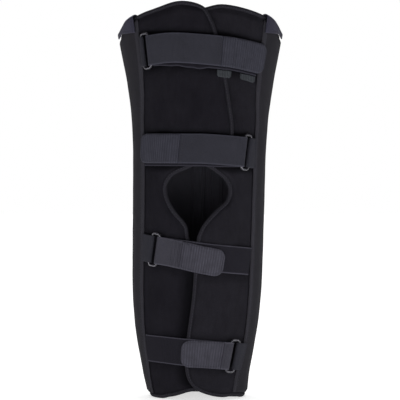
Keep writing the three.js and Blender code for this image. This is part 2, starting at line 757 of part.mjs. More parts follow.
for (const casing of BACK_CASINGS) add(`back_casing_${casing.name}`, backCasing(casing), TAPE, 0.85);

const STRAP_LAYOUTS = STRAPS.map(strapLayout);
for (const strap of STRAP_LAYOUTS) {
  add(`strap_${strap.name}`, strapSolid(strap), WEBBING, 0.8);
  add(`hook_end_${strap.name}`, hookEnd(strap), HOOK_TAPE, 0.7);
  add(`ring_${strap.name}`, ringSolid(strap), RING_PLASTIC, 0.35);
  add(`ring_tab_${strap.name}`, ringTab(strap), WEBBING, 0.8);
}
for (const tab of CLOSURE_TABS) add(`closure_tab_${tab.name}`, closureTab(tab), HOOK_TAPE, 0.7);

// The origin goes under the middle of the brace
const box = new THREE.Box3().setFromObject(group);
const middle = box.getCenter(new THREE.Vector3());
group.position.set(-middle.x, -middle.y, -box.min.z);

export default group;
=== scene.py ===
"""Looks of a knee immobilizer: padded panels, bound edges, side bands, ring straps and their stitching."""
import math
from functools import partial

import bpy
import numpy as np
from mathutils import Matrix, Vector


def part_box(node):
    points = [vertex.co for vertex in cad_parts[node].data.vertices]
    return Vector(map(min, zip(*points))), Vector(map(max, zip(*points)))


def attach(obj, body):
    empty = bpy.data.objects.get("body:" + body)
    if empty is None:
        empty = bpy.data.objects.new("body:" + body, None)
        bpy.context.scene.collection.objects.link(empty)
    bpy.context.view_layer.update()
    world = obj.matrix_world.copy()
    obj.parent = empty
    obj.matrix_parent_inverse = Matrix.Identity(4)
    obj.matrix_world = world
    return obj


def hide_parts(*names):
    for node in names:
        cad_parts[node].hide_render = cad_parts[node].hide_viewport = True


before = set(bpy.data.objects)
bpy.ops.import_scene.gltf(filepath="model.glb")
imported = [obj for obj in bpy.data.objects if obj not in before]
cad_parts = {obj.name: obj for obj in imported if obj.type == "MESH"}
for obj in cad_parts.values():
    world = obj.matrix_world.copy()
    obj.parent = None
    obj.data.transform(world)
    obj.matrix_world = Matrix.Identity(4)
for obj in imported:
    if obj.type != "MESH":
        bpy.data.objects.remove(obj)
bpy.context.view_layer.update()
MM = 0.001

# Form of the brace in millimetres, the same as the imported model's
LENGTH = 508
TOP_WIDTH = 210
TOP_DEPTH = 154
ROUNDNESS = 2.3
PANEL_WALL = 5
BINDING_WIDTH = 5
BINDING_PROUD = 0.5
BAND_THICKNESS = 2.5
CAP_THICKNESS = 1.5
CAP_SHORTEST_LEG = 6
CAP_INNER_LEG = 18
CASING_WIDTH = 19
CASING_THICKNESS = 2
THIGH_STRAP_WIDTH = 38
CALF_STRAP_WIDTH = 35
STRAP_THICKNESS = 1.6
HOOK_END_THICKNESS = 2
HOOK_CORNER_RADIUS = 11
RING_BAR = 3.2
RING_SLOT = 8
RING_SIDE_PLAY = 1.2
RING_CORNER_RADIUS = 3.4
TAB_THICKNESS = 1.4
CLOSURE_TAB_THICKNESS = 1.4
NARROW_CLOSURE_TAB_WIDTH = 18
WIDE_CLOSURE_TAB_WIDTH = 23
CLOSURE_TAB_GAP = 0.9
GAP = 0.3
LAYER_GAP = 0.55
LINING_GAP = 0.65
CAP_CROWN_GAP = 0.8
OVERLAP_GAP = 0.7
ROOT_GAP = 0.6
BAND_END_GAP = 1
FOLDED_GAP = 0.8
SEAM_TURN = 72
BAND_REAR_TURN = 109
CAP_FRONT_TURN = 48.5
CAP_REAR_TURN = 78
CAP_BOTTOM = 0.9255
BRIDGE_SPAN = 12
FOLD_EASE = 18
HEM_BLEND = (34, 52)

# Horizontal sections going up: share of the length, then half width and half depth, shift right and back
SECTIONS = dict(zip(("up", "wide", "deep", "right", "back"), np.array([
    (0.00, 0.533, 0.600, -0.030, 0.052),
    (0.07, 0.590, 0.640, -0.048, 0.048),
    (0.14, 0.652, 0.685, -0.048, 0.043),
    (0.20, 0.694, 0.715, -0.044, 0.039),
    (0.30, 0.728, 0.750, -0.035, 0.035),
    (0.45, 0.737, 0.765, -0.021, 0.000),
    (0.60, 0.744, 0.775, -0.009, -0.028),
    (0.70, 0.765, 0.790, -0.001, -0.030),
    (0.80, 0.826, 0.830, 0.004, -0.025),
    (0.90, 0.917, 0.900, 0.003, -0.030),
    (1.00, 1.000, 0.985, 0.000, -0.036),
]).T))

# Lower and upper hem, as shares of the length
HEMS = dict(zip(("turn", "bottom", "top"), np.array([
    (-180, 0, 0.885),
    (-140, 0, 0.897),
    (-109, 0, 0.913),
    (-90, 0, 0.921),
    (-72, 0, 0.931),
    (-64, 0, 0.942),
    (-57, 0, 0.956),
    (-50, 0, 0.965),
    (-44, 0, 0.972),
    (-26, 0.009, 0.988),
    (0, 0.010, 0.990),
    (26, 0.006, 0.987),
    (40, 0.0055, 0.977),
    (50, 0.004, 0.967),
    (57, 0.003, 0.9575),
    (64, 0.001, 0.944),
    (72, 0, 0.932),
    (90, 0, 0.922),
    (109, 0, 0.913),
    (140, 0, 0.897),
    (180, 0, 0.885),
]).T))

# Front edge of each side band
BAND_FRONTS = dict(zip(("up", "left", "right"), np.array([
    (0.00, -61, 43),
    (0.06, -59.5, 46.5),
    (0.10, -57.8, 50.2),
    (0.17, -56.4, 52.5),
    (0.28, -54.6, 52.2),
    (0.50, -53.5, 52.8),
    (0.69, -53.6, 53.4),
    (0.78, -49.8, 49.2),
    (0.90, -46.2, 47.6),
    (1.00, -45.5, 47.2),
]).T))

# Flaps: turn and share of the length along the lower hem, the free edge and the upper hem, then the turns and
# shares between which the flap climbs onto the other one
LEFT_FLAP = {
    "side": -1,
    "bottom": [(-72, 0), (-57, 0), (-43, 0.003), (-28, 0.008), (-12, 0.018), (13, 0.030)],
    "edge": [
        (23, 0.056), (22, 0.170), (19.4, 0.290), (11, 0.362), (-6.5, 0.400), (-10.5, 0.441), (-21.8, 0.480),
        (-28.2, 0.513), (-29.3, 0.542), (-23.5, 0.564), (-12.5, 0.580), (3.4, 0.600), (18.5, 0.617),
        (27.5, 0.643), (28.6, 0.690), (24.5, 0.755), (16.4, 0.868), (8.0, 0.957),
    ],
    "top": [(1.5, 0.988), (-12, 1), (-28, 0.987), (-43, 0.973), (-57, 0.956), (-72, 0.931)],
    "ramp": (-35, -18),
    "rise": (0.425, 0.585),
}
RIGHT_FLAP = {
    "side": 1,
    "bottom": [(72, 0), (57, 0.003), (43, 0.005), (28, 0.006), (14, 0.012), (-1, 0.026)],
    "edge": [
        (-9, 0.048), (-12.3, 0.096), (-8.6, 0.172), (-4.6, 0.255), (-2.8, 0.340), (-1.2, 0.405), (3.6, 0.440),
        (15.6, 0.480), (24.6, 0.504), (27.2, 0.532), (23.0, 0.556), (12.3, 0.579), (2.5, 0.597), (-8, 0.621),
        (-14.5, 0.655), (-15.5, 0.730), (-15, 0.905), (-13.5, 0.948),
    ],
    "top": [(-9, 0.970), (5, 0.986), (15, 0.993), (40, 0.977), (57, 0.957), (72, 0.932)],
    "ramp": (43, 26),
    "rise": (0.56, 0.413),
}

# Straps: width, side of the ring, tab length, reach from ring to tip, hook length, slant, 1 where the lower
# layer crumples, then the middle of the layer that folds back and of the one that leads in, at turns, as
# shares of the length
STRAPS = {
    "thigh": {
        "width": THIGH_STRAP_WIDTH, "ring": -1, "tab": 4.2, "reach": 155.5, "hook": 63.5, "lean": 0.03,
        "crumple": 1,
        "line": [
            (-50, 0.875, 0.875), (-38, 0.879, 0.878), (-20, 0.884, 0.878), (0, 0.880, 0.873),
            (22, 0.8725, 0.866), (56, 0.856, 0.850),
        ],
    },
    "above_knee": {
        "width": THIGH_STRAP_WIDTH, "ring": 1, "tab": 10.5, "reach": 137.5, "hook": 58, "lean": 0.09,
        "line": [
            (-59, 0.6355, 0.629), (-20, 0.6335, 0.627), (0, 0.633, 0.6265), (20, 0.6295, 0.6245),
            (40, 0.6245, 0.6245), (56, 0.621, 0.621),
        ],
    },
    "below_knee": {
        "width": CALF_STRAP_WIDTH, "ring": -1, "tab": 13, "reach": 85, "hook": 54, "lean": 0.14,
        "line": [
            (-56, 0.386, 0.386), (-38, 0.379, 0.379), (-15, 0.367, 0.370), (2, 0.356, 0.3635),
            (23, 0.3445, 0.3565), (54, 0.330, 0.348),
        ],
    },
    "calf": {
        "width": CALF_STRAP_WIDTH, "ring": 1, "tab": 11, "reach": 58, "hook": 50, "lean": 0.09,
        "line": [
            (-58, 0.122, 0.129), (-32, 0.121, 0.126), (-15, 0.119, 0.123), (0, 0.1178, 0.120),
            (34, 0.1114, 0.1114), (54, 0.106, 0.106),
        ],
    },
}

# Ends of the hook closure: turn, width and length that shows
CLOSURE_TABS = {"left": (18, NARROW_CLOSURE_TAB_WIDTH, 9), "right": (39, WIDE_CLOSURE_TAB_WIDTH, 8.5)}

# Casings of the back stays: turn, then lower and upper end as shares of the length
BACK_CASINGS = {"left": (180.5, 0.12, 0.82), "right": (162.5, 0.12, 0.82)}

# How far the padded cloth bulges and rumples, and between which turns that fades
TUCK = 1.2
BULGE = 2.2
BULGE_FADE = (38, 52)
FLAP_RUMPLE = 0.5
BACK_BULGE = 0.7
BACK_FADE = (BAND_REAR_TURN, BAND_REAR_TURN + 14)
BACK_RUMPLE = 0.8

# Waves of the rumples: radians for each degree round the leg and for each millimetre up it, and the start
RUMPLE_WAVES = (
    (0.11, 0.042, 0.4),
    (-0.07, 0.068, 1.9),
    (0.045, -0.032, 4.1),
    (0.19, 0.104, 2.6),
    (-0.23, 0.026, 5.3),
)

# Padding and its edges, what the other flap covers, and where painted shade darkens the foam next to the
# straps and beside the right flap's edge
FOAM_FILL = 0.7
SINK_WIDTH = 9
EDGE_PUFF = 9
EDGE_DENT = 0.9
SKIN_SIDE_DENT = 0.15
COVERED_EDGE = (-8, -3)
THIGH_OVERLAP = 0.59
CALF_OVERLAP = 0.43
# Painted shade on the foam: its width beside a strap, its turn and top beside the right flap's edge, and how
# dark it gets by each strap and by that edge
PAINTED_SHADE_WIDTH = 11
PAINTED_SHADE_TURN = 17
PAINTED_SHADE_TOP = (0.40, 0.47)
PAINTED_SHADE_BY_STRAPS = (0.9, 0.9, 0.35, 0.4)
PAINTED_SHADE_BY_EDGE = 0.8

# Tapes, seams and stitches
BINDING_NOSE = 2.2
BINDING_LEG = (0, 0.8, 1.8)
SKIN_LEG_SUNK = (0.7, 0.08, 0)
FACE_LEG_SUNK = (0, 0.1, 0.85)
BINDING_SEAM = 3.4
PUCKER = 0.13
END_ROUND = 3
BAND_EDGE_DROP = 0.9
BAND_EDGE_ROUND = 1.6
BAND_END_DROP = 0.8
BAND_RUMPLE = 0.18
BAND_SEAMS = (3.2, 6.2)
STAY_RISE = 0.9
STAY_FLANK = (7, 17)
CAP_BEND_START = -1.5
CAP_SEAM_RISE = 2.4
CAP_EDGE_DROP = 0.25 * CAP_THICKNESS
CAP_EDGE_ROUND = 1.2
CASING_SEAM_INSET = 1.8
CASING_STAY_RISE = 0.9
CASING_EDGE_RISE = 0.7
SEAM_INSET = 2.6
CROSS_SEAM_INSET = 3
TAB_SEAM_INSET = 2
SEAM_GROOVE = 0.35
SEAM_GROOVE_WIDTH = 0.9
SEAM_WELT = 0.25
SEAM_WELT_WIDTH = 0.6
THREAD_SUNK = 0.15
SELVEDGE = 0.6
SELVEDGE_DIP = 0.12
SELVEDGE_DIP_WIDTH = 0.8
CRUMPLE_DEPTH = 12
CRUMPLE_START = (12, 30)
CRUMPLE_END = 9
CRUMPLE_FADE = 20
HOOK_EDGE_DROP = 0.9
HOOK_EDGE_ROUND = 1.1
CLOSURE_EDGE_DROP = 0.5
CLOSURE_EDGE_ROUND = 1
CLOSURE_TAPER = 0.2
CLOSURE_TAPER_SPAN = (0.72, 1)
STITCHED_TAB = 7
STITCH_PITCH = 3.6
STITCH_LENGTH = 2.6
STITCH_WIDTH = 0.75
STITCH_HEIGHT = 0.4
HOOK_RIB = 3.1
RIB_HEIGHT = 0.16
RIB_ENDS = (1.5, 2.5)

# How finely the pieces are divided, as columns and rows where there are two, and how far straps are laid out
BACK_GRID = (96, 120)
BAND_GRID = (44, 150)
BAND_HEM_COLUMNS = 3
CASING_GRID = (25, 120)
CLOSURE_GRID = (41, 26)
EDGE_STEPS = 8
HEM_STEPS = 199
BINDING_STEP = 0.9
NOSE_STEPS = 9
CAP_STEPS = 70
CAP_LEG_STEPS = 14
CAP_BEND_STEPS = 13
STRAP_COLUMNS = 23
SELVEDGE_COLUMNS = 3
UNDER_STEPS = 90
OVER_STEPS = 70
FOLD_STEPS = 14
TAB_STEPS = 24
HOOK_COLUMNS = 25
HOOK_STEP = 0.4
TIP_STEPS = 16
RIM_POINTS = 60
SEAM_POINTS = 40
RING_CORNER_STEPS = 9
RING_SIDES = 16
LAYOUT_TURN = 120
LAYOUT_REACH = 190
USUAL_BAND_FRONT = 52

# Camera of the photo, then softboxes in metres and watts: place, target, size and power
SENSOR = 36.0
PHOTO_SIDE = 400
FOCAL_PIXELS = 1832.6
EYE_DISTANCE = 2400
EYE_HEIGHT = 256.35
SOFTBOXES = {
    "front_low_key": ((0.1, -0.75, 0.06), (0, 0, 0.02), (0.8, 0.1), 2.45),
    "left_fill": ((-0.75, -0.35, 0.08), (0, 0, 0.04), (0.4, 0.14), 1.5),
    "right_fill": ((0.75, -0.3, 0.08), (0, 0, 0.04), (0.4, 0.14), 1.4),
}
CEILING_POWER = 1.95
CEILING_SPREAD = 80
CEILING_TILT = -25
AMBIENT = 0.11
FLOOR_REACH = 30000
FLOOR_GLOW = 0.6


# Curves, and places on the wall of the brace

def smooth_column(x, y):
    """Smooth curve without overshoot through y over x."""
    x = np.asarray(x, float)
    y = np.asarray(y, float)
    slopes = np.diff(y) / np.diff(x)
    before = np.concatenate((slopes[:1], slopes))
    after = np.concatenate((slopes, slopes[-1:]))
    both = before + after
    tangents = np.where(before * after > 0, 2 * before * after / np.where(both == 0, 1, both), 0)

    def at(value):
        value = np.clip(value, x[0], x[-1])
        i = np.clip(np.searchsorted(x, value) - 1, 0, len(x) - 2)
        span = x[i + 1] - x[i]
        t = (value - x[i]) / span
        blend = t * t * (3 - 2 * t) * (y[i + 1] - y[i])
        return y[i] + blend + span * t * (1 - t) * ((1 - t) * tangents[i] - t * tangents[i + 1])

    return at


def ease(value, start, end):
    """0 at the start, 1 at the end, and level at both."""
    t = np.clip((np.asarray(value, float) - start) / (end - start), 0, 1)
    return t * t * (3 - 2 * t)


def lerp(a, b, t):
    return a + (b - a) * t


def swell(value, centre, width):
    """A soft ridge, 1 at its centre."""
    return np.exp(-((value - centre) / width) ** 2)


def running(steps):
    """Distance covered at each point, from the steps between the points."""
    return np.concatenate(([0], np.cumsum(steps)))


def paired(first, second):
    """Two grids as one grid of pairs, such as millimetres along a cloth and across it."""
    return np.stack(np.broadcast_arrays(first, second), axis=-1)


def out_and_back(there, back):
    """Rows that run out along one face and back along the other."""
    return np.concatenate((there, back[:, ::-1]), axis=1)


def unit(vectors):
    return vectors / np.linalg.norm(vectors, axis=-1, keepdims=True)


def sampled(values, along, at):
    """Rows of values, known along a path, read at other distances along it."""
    return np.stack([np.interp(at, along, column) for column in values.T], axis=-1)


wide_at, deep_at, right_at, back_at = (
    smooth_column(SECTIONS["up"], SECTIONS[key]) for key in ("wide", "deep", "right", "back")
)
bottom_hem_at = smooth_column(HEMS["turn"], HEMS["bottom"])
top_hem_at = smooth_column(HEMS["turn"], HEMS["top"])
band_front_at = {
    side: smooth_column(BAND_FRONTS["up"], BAND_FRONTS[name]) for side, name in ((-1, "left"), (1, "right"))
}


def outline(turn, z):
    """Point and horizontal normal on the skin side of the wall."""
    turn, z = np.broadcast_arrays(np.asarray(turn, float), np.asarray(z, float))
    up = z / LENGTH
    half_width = wide_at(up) * TOP_WIDTH / 2
    half_depth = deep_at(up) * TOP_DEPTH / 2
    sine = np.sin(np.radians(turn))
    cosine = np.cos(np.radians(turn))
    reach = (np.abs(sine) ** ROUNDNESS + np.abs(cosine) ** ROUNDNESS) ** (-1 / ROUNDNESS)
    x = half_width * sine * reach
    y = -half_depth * cosine * reach
    normal_x = np.sign(x) * np.abs(x / half_width) ** (ROUNDNESS - 1) / half_width
    normal_y = np.sign(y) * np.abs(y / half_depth) ** (ROUNDNESS - 1) / half_depth
    point = np.stack((right_at(up) * TOP_WIDTH / 2 + x, back_at(up) * TOP_DEPTH / 2 + y, z), axis=-1)
    return point, unit(np.stack((normal_x, normal_y, np.zeros_like(z)), axis=-1))


def raw_skin(turn, z, out):
    """Point at `out` millimetres from the skin side, about the line that the sections are drawn about."""
    point, normal = outline(turn, z)
    return point + normal * np.asarray(out, float)[..., None]


def arc_per_degree(turn, z):
    """Millimetres on the wall's outer face for each degree."""
    step = raw_skin(np.asarray(turn) + 0.5, z, PANEL_WALL) - raw_skin(np.asarray(turn) - 0.5, z, PANEL_WALL)
    return np.linalg.norm(step, axis=-1)


def back_turns(columns, clear):
    """Turns across the back panel: counted on past 180, and the same ones wrapped at 180."""
    turn = np.linspace(SEAM_TURN + clear, 360 - SEAM_TURN - clear, columns + 1)
    return turn, np.where(turn > 180, turn - 360, turn)


def back_rows(columns, rows, clear):
    """Turns and heights of the back panel between its bound hems."""
    turn, wrapped = back_turns(columns, clear)
    margin = BINDING_WIDTH + GAP
    low = bottom_hem_at(wrapped) * LENGTH + margin
    high = top_hem_at(wrapped) * LENGTH - margin
    z = lerp(low, high, np.linspace(0, 1, rows + 1)[:, None])
    return np.broadcast_to(turn, z.shape), z


def frame_shift():
    """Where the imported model's origin lies from the line that the sections are drawn about."""
    turn, z = back_rows(columns=16, rows=16, clear=0.15)
    faces = np.concatenate((raw_skin(turn, z, 0), raw_skin(turn, z, PANEL_WALL))).reshape(-1, 3)
    low, high = (np.array(corner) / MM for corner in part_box("back_panel"))
    return ((low + high) / 2 - (faces.min(0) + faces.max(0)) / 2) * (1, 1, 0)


SHIFT = frame_shift()
SEAM_CLEAR = GAP / 2 / float(arc_per_degree(SEAM_TURN, 0))
OVERLAP_LIFT = PANEL_WALL + 2 * BINDING_PROUD + OVERLAP_GAP
BAND_INSIDE = PANEL_WALL + LAYER_GAP
BAND_OUTSIDE = BAND_INSIDE + BAND_THICKNESS
BAND_FACE = BAND_OUTSIDE - 0.5


def skin(turn, z, out):
    """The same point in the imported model's frame."""
    return raw_skin(turn, z, out) + SHIFT


def seam_line(turn, z, out):
    """Points and outward normals along a seam."""
    return skin(turn, z, out), outline(turn, z)[1]


def flap_lift(flap, turn, z):
    """How far a flap is lifted where it lies over the other one."""
    return OVERLAP_LIFT * ease(turn, *flap["ramp"]) * ease(np.asarray(z) / LENGTH, *flap["rise"])


def through(points, per_segment):
    """Centripetal curve through points, with its end tangents carried straight on."""
    p = np.asarray(points, float)
    p = np.concatenate(([2 * p[0] - p[1]], p, [2 * p[-1] - p[-2]]))
    spread = np.sqrt(np.linalg.norm(np.diff(p, axis=0), axis=1))
    t = (np.arange(per_segment) / per_segment)[:, None]
    cube = 2 * t ** 3 - 3 * t ** 2 + 1
    out = []
    for i in range(1, len(p) - 2):
        d0, d1, d2 = spread[i - 1:i + 2]
        start = (p[i] - p[i - 1]) / d0 - (p[i + 1] - p[i - 1]) / (d0 + d1) + (p[i + 1] - p[i]) / d1
        end = (p[i + 1] - p[i]) / d1 - (p[i + 2] - p[i]) / (d1 + d2) + (p[i + 2] - p[i + 1]) / d2
        bend = (t ** 3 - 2 * t ** 2 + t) * start * d1 + (t ** 3 - t ** 2) * end * d1
        out.append(cube * p[i] + (1 - cube) * p[i + 1] + bend)
    return np.concatenate(out + [p[-2:-1]])


class Path:
    """An edge in turn and height, with the direction into the panel per millimetre."""

    def __init__(self, turn, z, hand, first, last):
        self.turn = turn
        self.z = z
        arc = arc_per_degree(turn, z)
        around = np.gradient(turn) * arc
        rise = np.gradient(z)
        length = np.hypot(around, rise)
        self.in_turn = -hand * rise / length / arc
        self.in_z = hand * around / length
        self.in_turn[[0, -1]] = 0
        self.in_z[[0, -1]] = first, last
        self.along = running(np.hypot(np.diff(turn) * (arc[1:] + arc[:-1]) / 2, np.diff(z)))

    def inset(self, distance):
        return self.turn + self.in_turn * distance, self.z + self.in_z * distance


def flap_path(flap):
    places = [(turn, up * LENGTH) for turn, up in flap["bottom"] + flap["edge"] + flap["top"]]
    points = through(places, EDGE_STEPS)
    seam = SEAM_TURN - SEAM_CLEAR
    turn = np.clip(points[:, 0], -seam, seam)
    half = len(turn) // 2
    hem = np.concatenate((bottom_hem_at(turn[:half]), top_hem_at(turn[half:]))) * LENGTH
    z = np.maximum(lerp(points[:, 1], hem, ease(np.abs(turn), *HEM_BLEND)), 0)
    return Path(turn, z, -flap["side"], 1, -1)


def hem_path(hem_at, hand):
    turn, wrapped = back_turns(HEM_STEPS, SEAM_CLEAR)
    return Path(turn, hem_at(wrapped) * LENGTH, hand, hand, hand)


def flap_edge_at(flap):
    """Turn of a flap's free edge at a share of the length."""
    rows = [flap["bottom"][-1]] + flap["edge"] + [flap["top"][0]]
    return smooth_column([up for _, up in rows], [turn for turn, _ in rows])


left_edge_at = flap_edge_at(LEFT_FLAP)
right_edge_at = flap_edge_at(RIGHT_FLAP)


def flap_top(turn, z):
    """Outer face of whichever flap lies on top."""
    up = z / LENGTH
    near = 2 * BINDING_WIDTH / arc_per_degree(turn, z)
    top = np.full(np.shape(turn), float(PANEL_WALL))
    for flap, inside in ((LEFT_FLAP, left_edge_at(up) - turn), (RIGHT_FLAP, turn - right_edge_at(up))):
        height = PANEL_WALL + flap_lift(flap, turn, z) + np.where(inside < near, BINDING_PROUD, 0)
        top = np.where(inside > -near / 2, np.maximum(top, height), top)
    return top


# Meshes and pieces

def mesh_piece(name, points, faces, materials, uv=None, face_materials=None):
    """Smooth mesh from points in millimetres, mapped in millimetres too."""
    mesh = bpy.data.meshes.new(name)
    mesh.from_pydata((np.asarray(points).reshape(-1, 3) * MM).tolist(), [], faces)
    for material in materials:
        mesh.materials.append(material)
    if face_materials is not None:
        mesh.polygons.foreach_set("material_index", np.asarray(face_materials, dtype=np.int32))
    mesh.polygons.foreach_set("use_smooth", [True] * len(mesh.polygons))
    if uv is not None:
        corners = np.empty(len(mesh.loops), dtype=np.int32)
        mesh.loops.foreach_get("vertex_index", corners)
        layer = mesh.uv_layers.new(name="millimetres")
        layer.data.foreach_set("uv", np.asarray(uv, float).reshape(-1, 2)[corners].ravel())
    mesh.update()
    piece = bpy.data.objects.new(name, mesh)
    bpy.context.scene.collection.objects.link(piece)
    return piece


def volume_sign(points, faces):
    """1 where the faces point out of the body and -1 where they point into it."""
    a, b, c, d = np.moveaxis(np.asarray(points).reshape(-1, 3)[np.array(faces)], 1, 0)
    return np.sign(np.einsum("ij,ij->", a, np.cross(b, c)) + np.einsum("ij,ij->", a, np.cross(c, d)))


def loft(name, loops, uv, materials, closed=False, sides=None):
    """Closed body through loops that run out along one face and back along the other, or round a tube."""
    rows, size = loops.shape[:2]
    faces = []
    face_materials = []
    for i in range(rows if closed else rows - 1):
        here = i * size
        there = (i + 1) % rows * size
        for j in range(size):
            after = (j + 1) % size
            faces.append((here + j, here + after, there + after, there + j))
            face_materials.append(sides[j] if sides else 0)
    if not closed:
        last = (rows - 1) * size
        for j in range(size // 2 - 1):
            faces.append((j, size - 1 - j, size - 2 - j, j + 1))
            faces.append((last + j, last + j + 1, last + size - 2 - j, last + size - 1 - j))
            face_materials += [0, 0]
    if volume_sign(loops, faces) < 0:
        faces = [face[::-1] for face in faces]
    return mesh_piece(name, loops, faces, materials, uv, face_materials)


def shell(name, turn, z, inner, outer, materials, sides=None):
    """Wall between two faces over a patch. Its second material, if it has one, lines the skin side."""
    columns = turn.shape[1]
    if len(materials) > 1 and sides is None:
        sides = [0] * columns + [1] * (columns - 1) + [0]
    loops = out_and_back(skin(turn, z, outer), skin(turn, z, inner))
    flat = paired(turn * arc_per_degree(turn, z), z)
    return loft(name, loops, out_and_back(flat, flat), materials, sides=sides)


def settle(piece, slot, *nodes, padded=None):
    """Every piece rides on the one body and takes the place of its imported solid."""
    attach(piece, "root")
    if nodes:
        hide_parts(*nodes)


def stitches(name, lines):
    """Rows of thread stitches. Each line is points and outward normals along a seam."""
    sides = 6
    angles = np.arange(sides) * 2 * np.pi / sides
    swelling = ((-0.5, 0.25), (-0.3, 0.85), (0, 1), (0.3, 0.85), (0.5, 0.25))
    template = np.array([
        (along, math.cos(angle) * fat, math.sin(angle) * fat) for along, fat in swelling for angle in angles
    ]) * (STITCH_LENGTH, STITCH_WIDTH / 2, STITCH_HEIGHT)
    last = (len(swelling) - 1) * sides
    quads = [
        (i + k, i + (k + 1) % sides, i + sides + (k + 1) % sides, i + sides + k)
        for i in range(0, last, sides) for k in range(sides)
    ]
    ends = [tuple(range(sides))[::-1], tuple(range(last, last + sides))]
    points = []
    faces = []
    for path, normals in lines:
        along = running(np.linalg.norm(np.diff(path, axis=0), axis=1))
        count = int(along[-1] // STITCH_PITCH)
        if count < 2:
            continue
        at = (np.arange(count) + 0.5) * along[-1] / count
        up = sampled(normals, along, at)
        run = unit(sampled(path, along, at + 1) - sampled(path, along, at - 1))
        for centre, *axes in zip(sampled(path, along, at), run, unit(np.cross(up, run)), up):
            base = len(points) * len(template)
            points.append(centre + template @ np.stack(axes))
            faces += [tuple(base + v for v in face) for face in quads + ends]
    settle(mesh_piece(name, np.concatenate(points), faces, [THREAD]), "binding_tape")


# Materials: lengths are real millimetres unless a comment says that they are drawn coarser

def linear(colour):
    """A #rrggbb colour as linear light with full alpha."""
    values = [int(colour[i:i + 2], 16) / 255 for i in (1, 3, 5)]
    return [v / 12.92 if v <= 0.04045 else ((v + 0.055) / 1.055) ** 2.4 for v in values] + [1]


def add(tree, kind, inputs=None, **settings):
    """One node with its settings. An input takes a value, a hex colour or the output that it is linked to."""
    node = tree.nodes.new(kind)
    for key, value in settings.items():
        setattr(node, key, value)
    for key, value in (inputs or {}).items():
        if isinstance(value, bpy.types.NodeSocket):
            tree.links.new(value, node.inputs[key])
        else:
            node.inputs[key].default_value = linear(value) if isinstance(value, str) else value
    return node


def blank(name):
    material = bpy.data.materials.new(name)
    material.use_nodes = True
    material.node_tree.nodes.clear()
    return material, material.node_tree


def body_place(tree):
    """Millimetres on the brace itself, for what doesn't follow the cloth."""
    place = add(tree, "ShaderNodeTexCoord").outputs["Object"]
    return add(tree, "ShaderNodeVectorMath", {0: place, 1: (1 / MM,) * 3}, operation="MULTIPLY").outputs[0]


def cloth_place(tree):
    """Millimetres along the cloth and across it."""
    return add(tree, "ShaderNodeUVMap", uv_map="millimetres").outputs[0]


def mottle(tree, place, size, amount, stretch=1.0):
    """Cloudy patches of a size, from 0 to an amount, drawn out along the third axis by the stretch."""
    scale = (1 / size, 1 / size, 1 / size / stretch)
    where = add(tree, "ShaderNodeVectorMath", {0: place, 1: scale}, operation="MULTIPLY").outputs[0]
    cloud = add(tree, "ShaderNodeTexNoise", {"Vector": where, "Scale": 1.0, "Detail": 4.0, "Roughness": 0.65})
    return add(tree, "ShaderNodeMapRange", {
        "Value": cloud.outputs[0], "From Min": 0.35, "From Max": 0.7, "To Max": amount,
    }).outputs[0]


def ridges(tree, place, pitch, direction):
    """Rounded threads or ribs, a pitch apart along the cloth (0) or across it (1)."""
    run = add(tree, "ShaderNodeSeparateXYZ", {0: place}).outputs[direction]
    phase = add(tree, "ShaderNodeMath", {0: run, 1: 2 * math.pi / pitch}, operation="MULTIPLY")
    wave = add(tree, "ShaderNodeMath", {0: phase.outputs[0]}, operation="SINE")
    return add(tree, "ShaderNodeMapRange", {"Value": wave.outputs[0], "From Min": -1.0}).outputs[0]


def weave(tree, place, weft, warp, direction=0):
    """Weft over warp: two sets of ridges that cross."""
    crossed = {0: ridges(tree, place, weft, direction), 1: ridges(tree, place, warp, 1 - direction)}
    return add(tree, "ShaderNodeMath", crossed, operation="MULTIPLY").outputs[0]


def selvedge(tree, place, width, rim):
    """1 on the tight woven rims at both sides of a tape."""
    across = add(tree, "ShaderNodeSeparateXYZ", {0: place}).outputs[1]
    off_middle = add(tree, "ShaderNodeMath", {0: across}, operation="ABSOLUTE").outputs[0]
    start = width / 2 - rim
    ends = {"Value": off_middle, "From Min": start - 0.3, "From Max": start + 0.3}
    return add(tree, "ShaderNodeMapRange", ends).outputs[0]


def layered(tree, base, *layers):
    """Base colour with layers of colour over it, each with its mask."""
    tone = base
    for colour, mask in layers:
        tone = add(tree, "ShaderNodeMix", {"Factor": mask, 6: tone, 7: colour}, data_type="RGBA").outputs[2]
    return tone


def finished(material, tree, colour, relief, depth, finish, roughness=None):
    """Shader with the finish's values, the colour and a relief of so many millimetres."""
    bump = add(tree, "ShaderNodeBump", {"Height": relief, "Distance": depth * MM, "Strength": 0.7})
    values = {"Base Color": colour, "Normal": bump.outputs[0], **finish}
    if roughness is not None:
        values["Roughness"] = roughness
    shader = add(tree, "ShaderNodeBsdfPrincipled", values)
    add(tree, "ShaderNodeOutputMaterial", {"Surface": shader.outputs[0]})
    return material


# Open fibres swallow most of the gloss of their nylon or polyester, so the specular level is low
BRUSHED = {
    "IOR": 1.53, "Roughness": 0.92, "Specular IOR Level": 0.03,
    "Sheen Weight": 0.012, "Sheen Roughness": 0.5, "Sheen Tint": "#8d8b99",
}
WOVEN = {
    "IOR": 1.57, "Roughness": 0.8, "Specular IOR Level": 0.06,
    "Sheen Weight": 0.015, "Sheen Roughness": 0.5, "Sheen Tint": "#9a98a6",
}
SMOOTH_WOVEN = {**WOVEN, "IOR": 1.53, "Roughness": 0.65, "Specular IOR Level": 0.11}
FILAMENT = {**WOVEN, "IOR": 1.53, "Roughness": 0.36, "Specular IOR Level": 0.08, "Specular Tint": "#c4c2ee"}
MOULDED = {
    "IOR": 1.48, "Specular IOR Level": 0.5, "Specular Tint": "#dcd8ea",
    "Coat Weight": 0.5, "Coat Roughness": 0.06,
}
FROSTED = {
    "IOR": 1.49, "Roughness": 0.9, "Specular IOR Level": 0.1,
    "Emission Color": "#ffffff", "Emission Strength": FLOOR_GLOW,
}
# Near-black painted shade, laid on the foam next to the straps and beside the right flap's edge in the calf
PAINTED_SHADE_FOAM = "#060608"


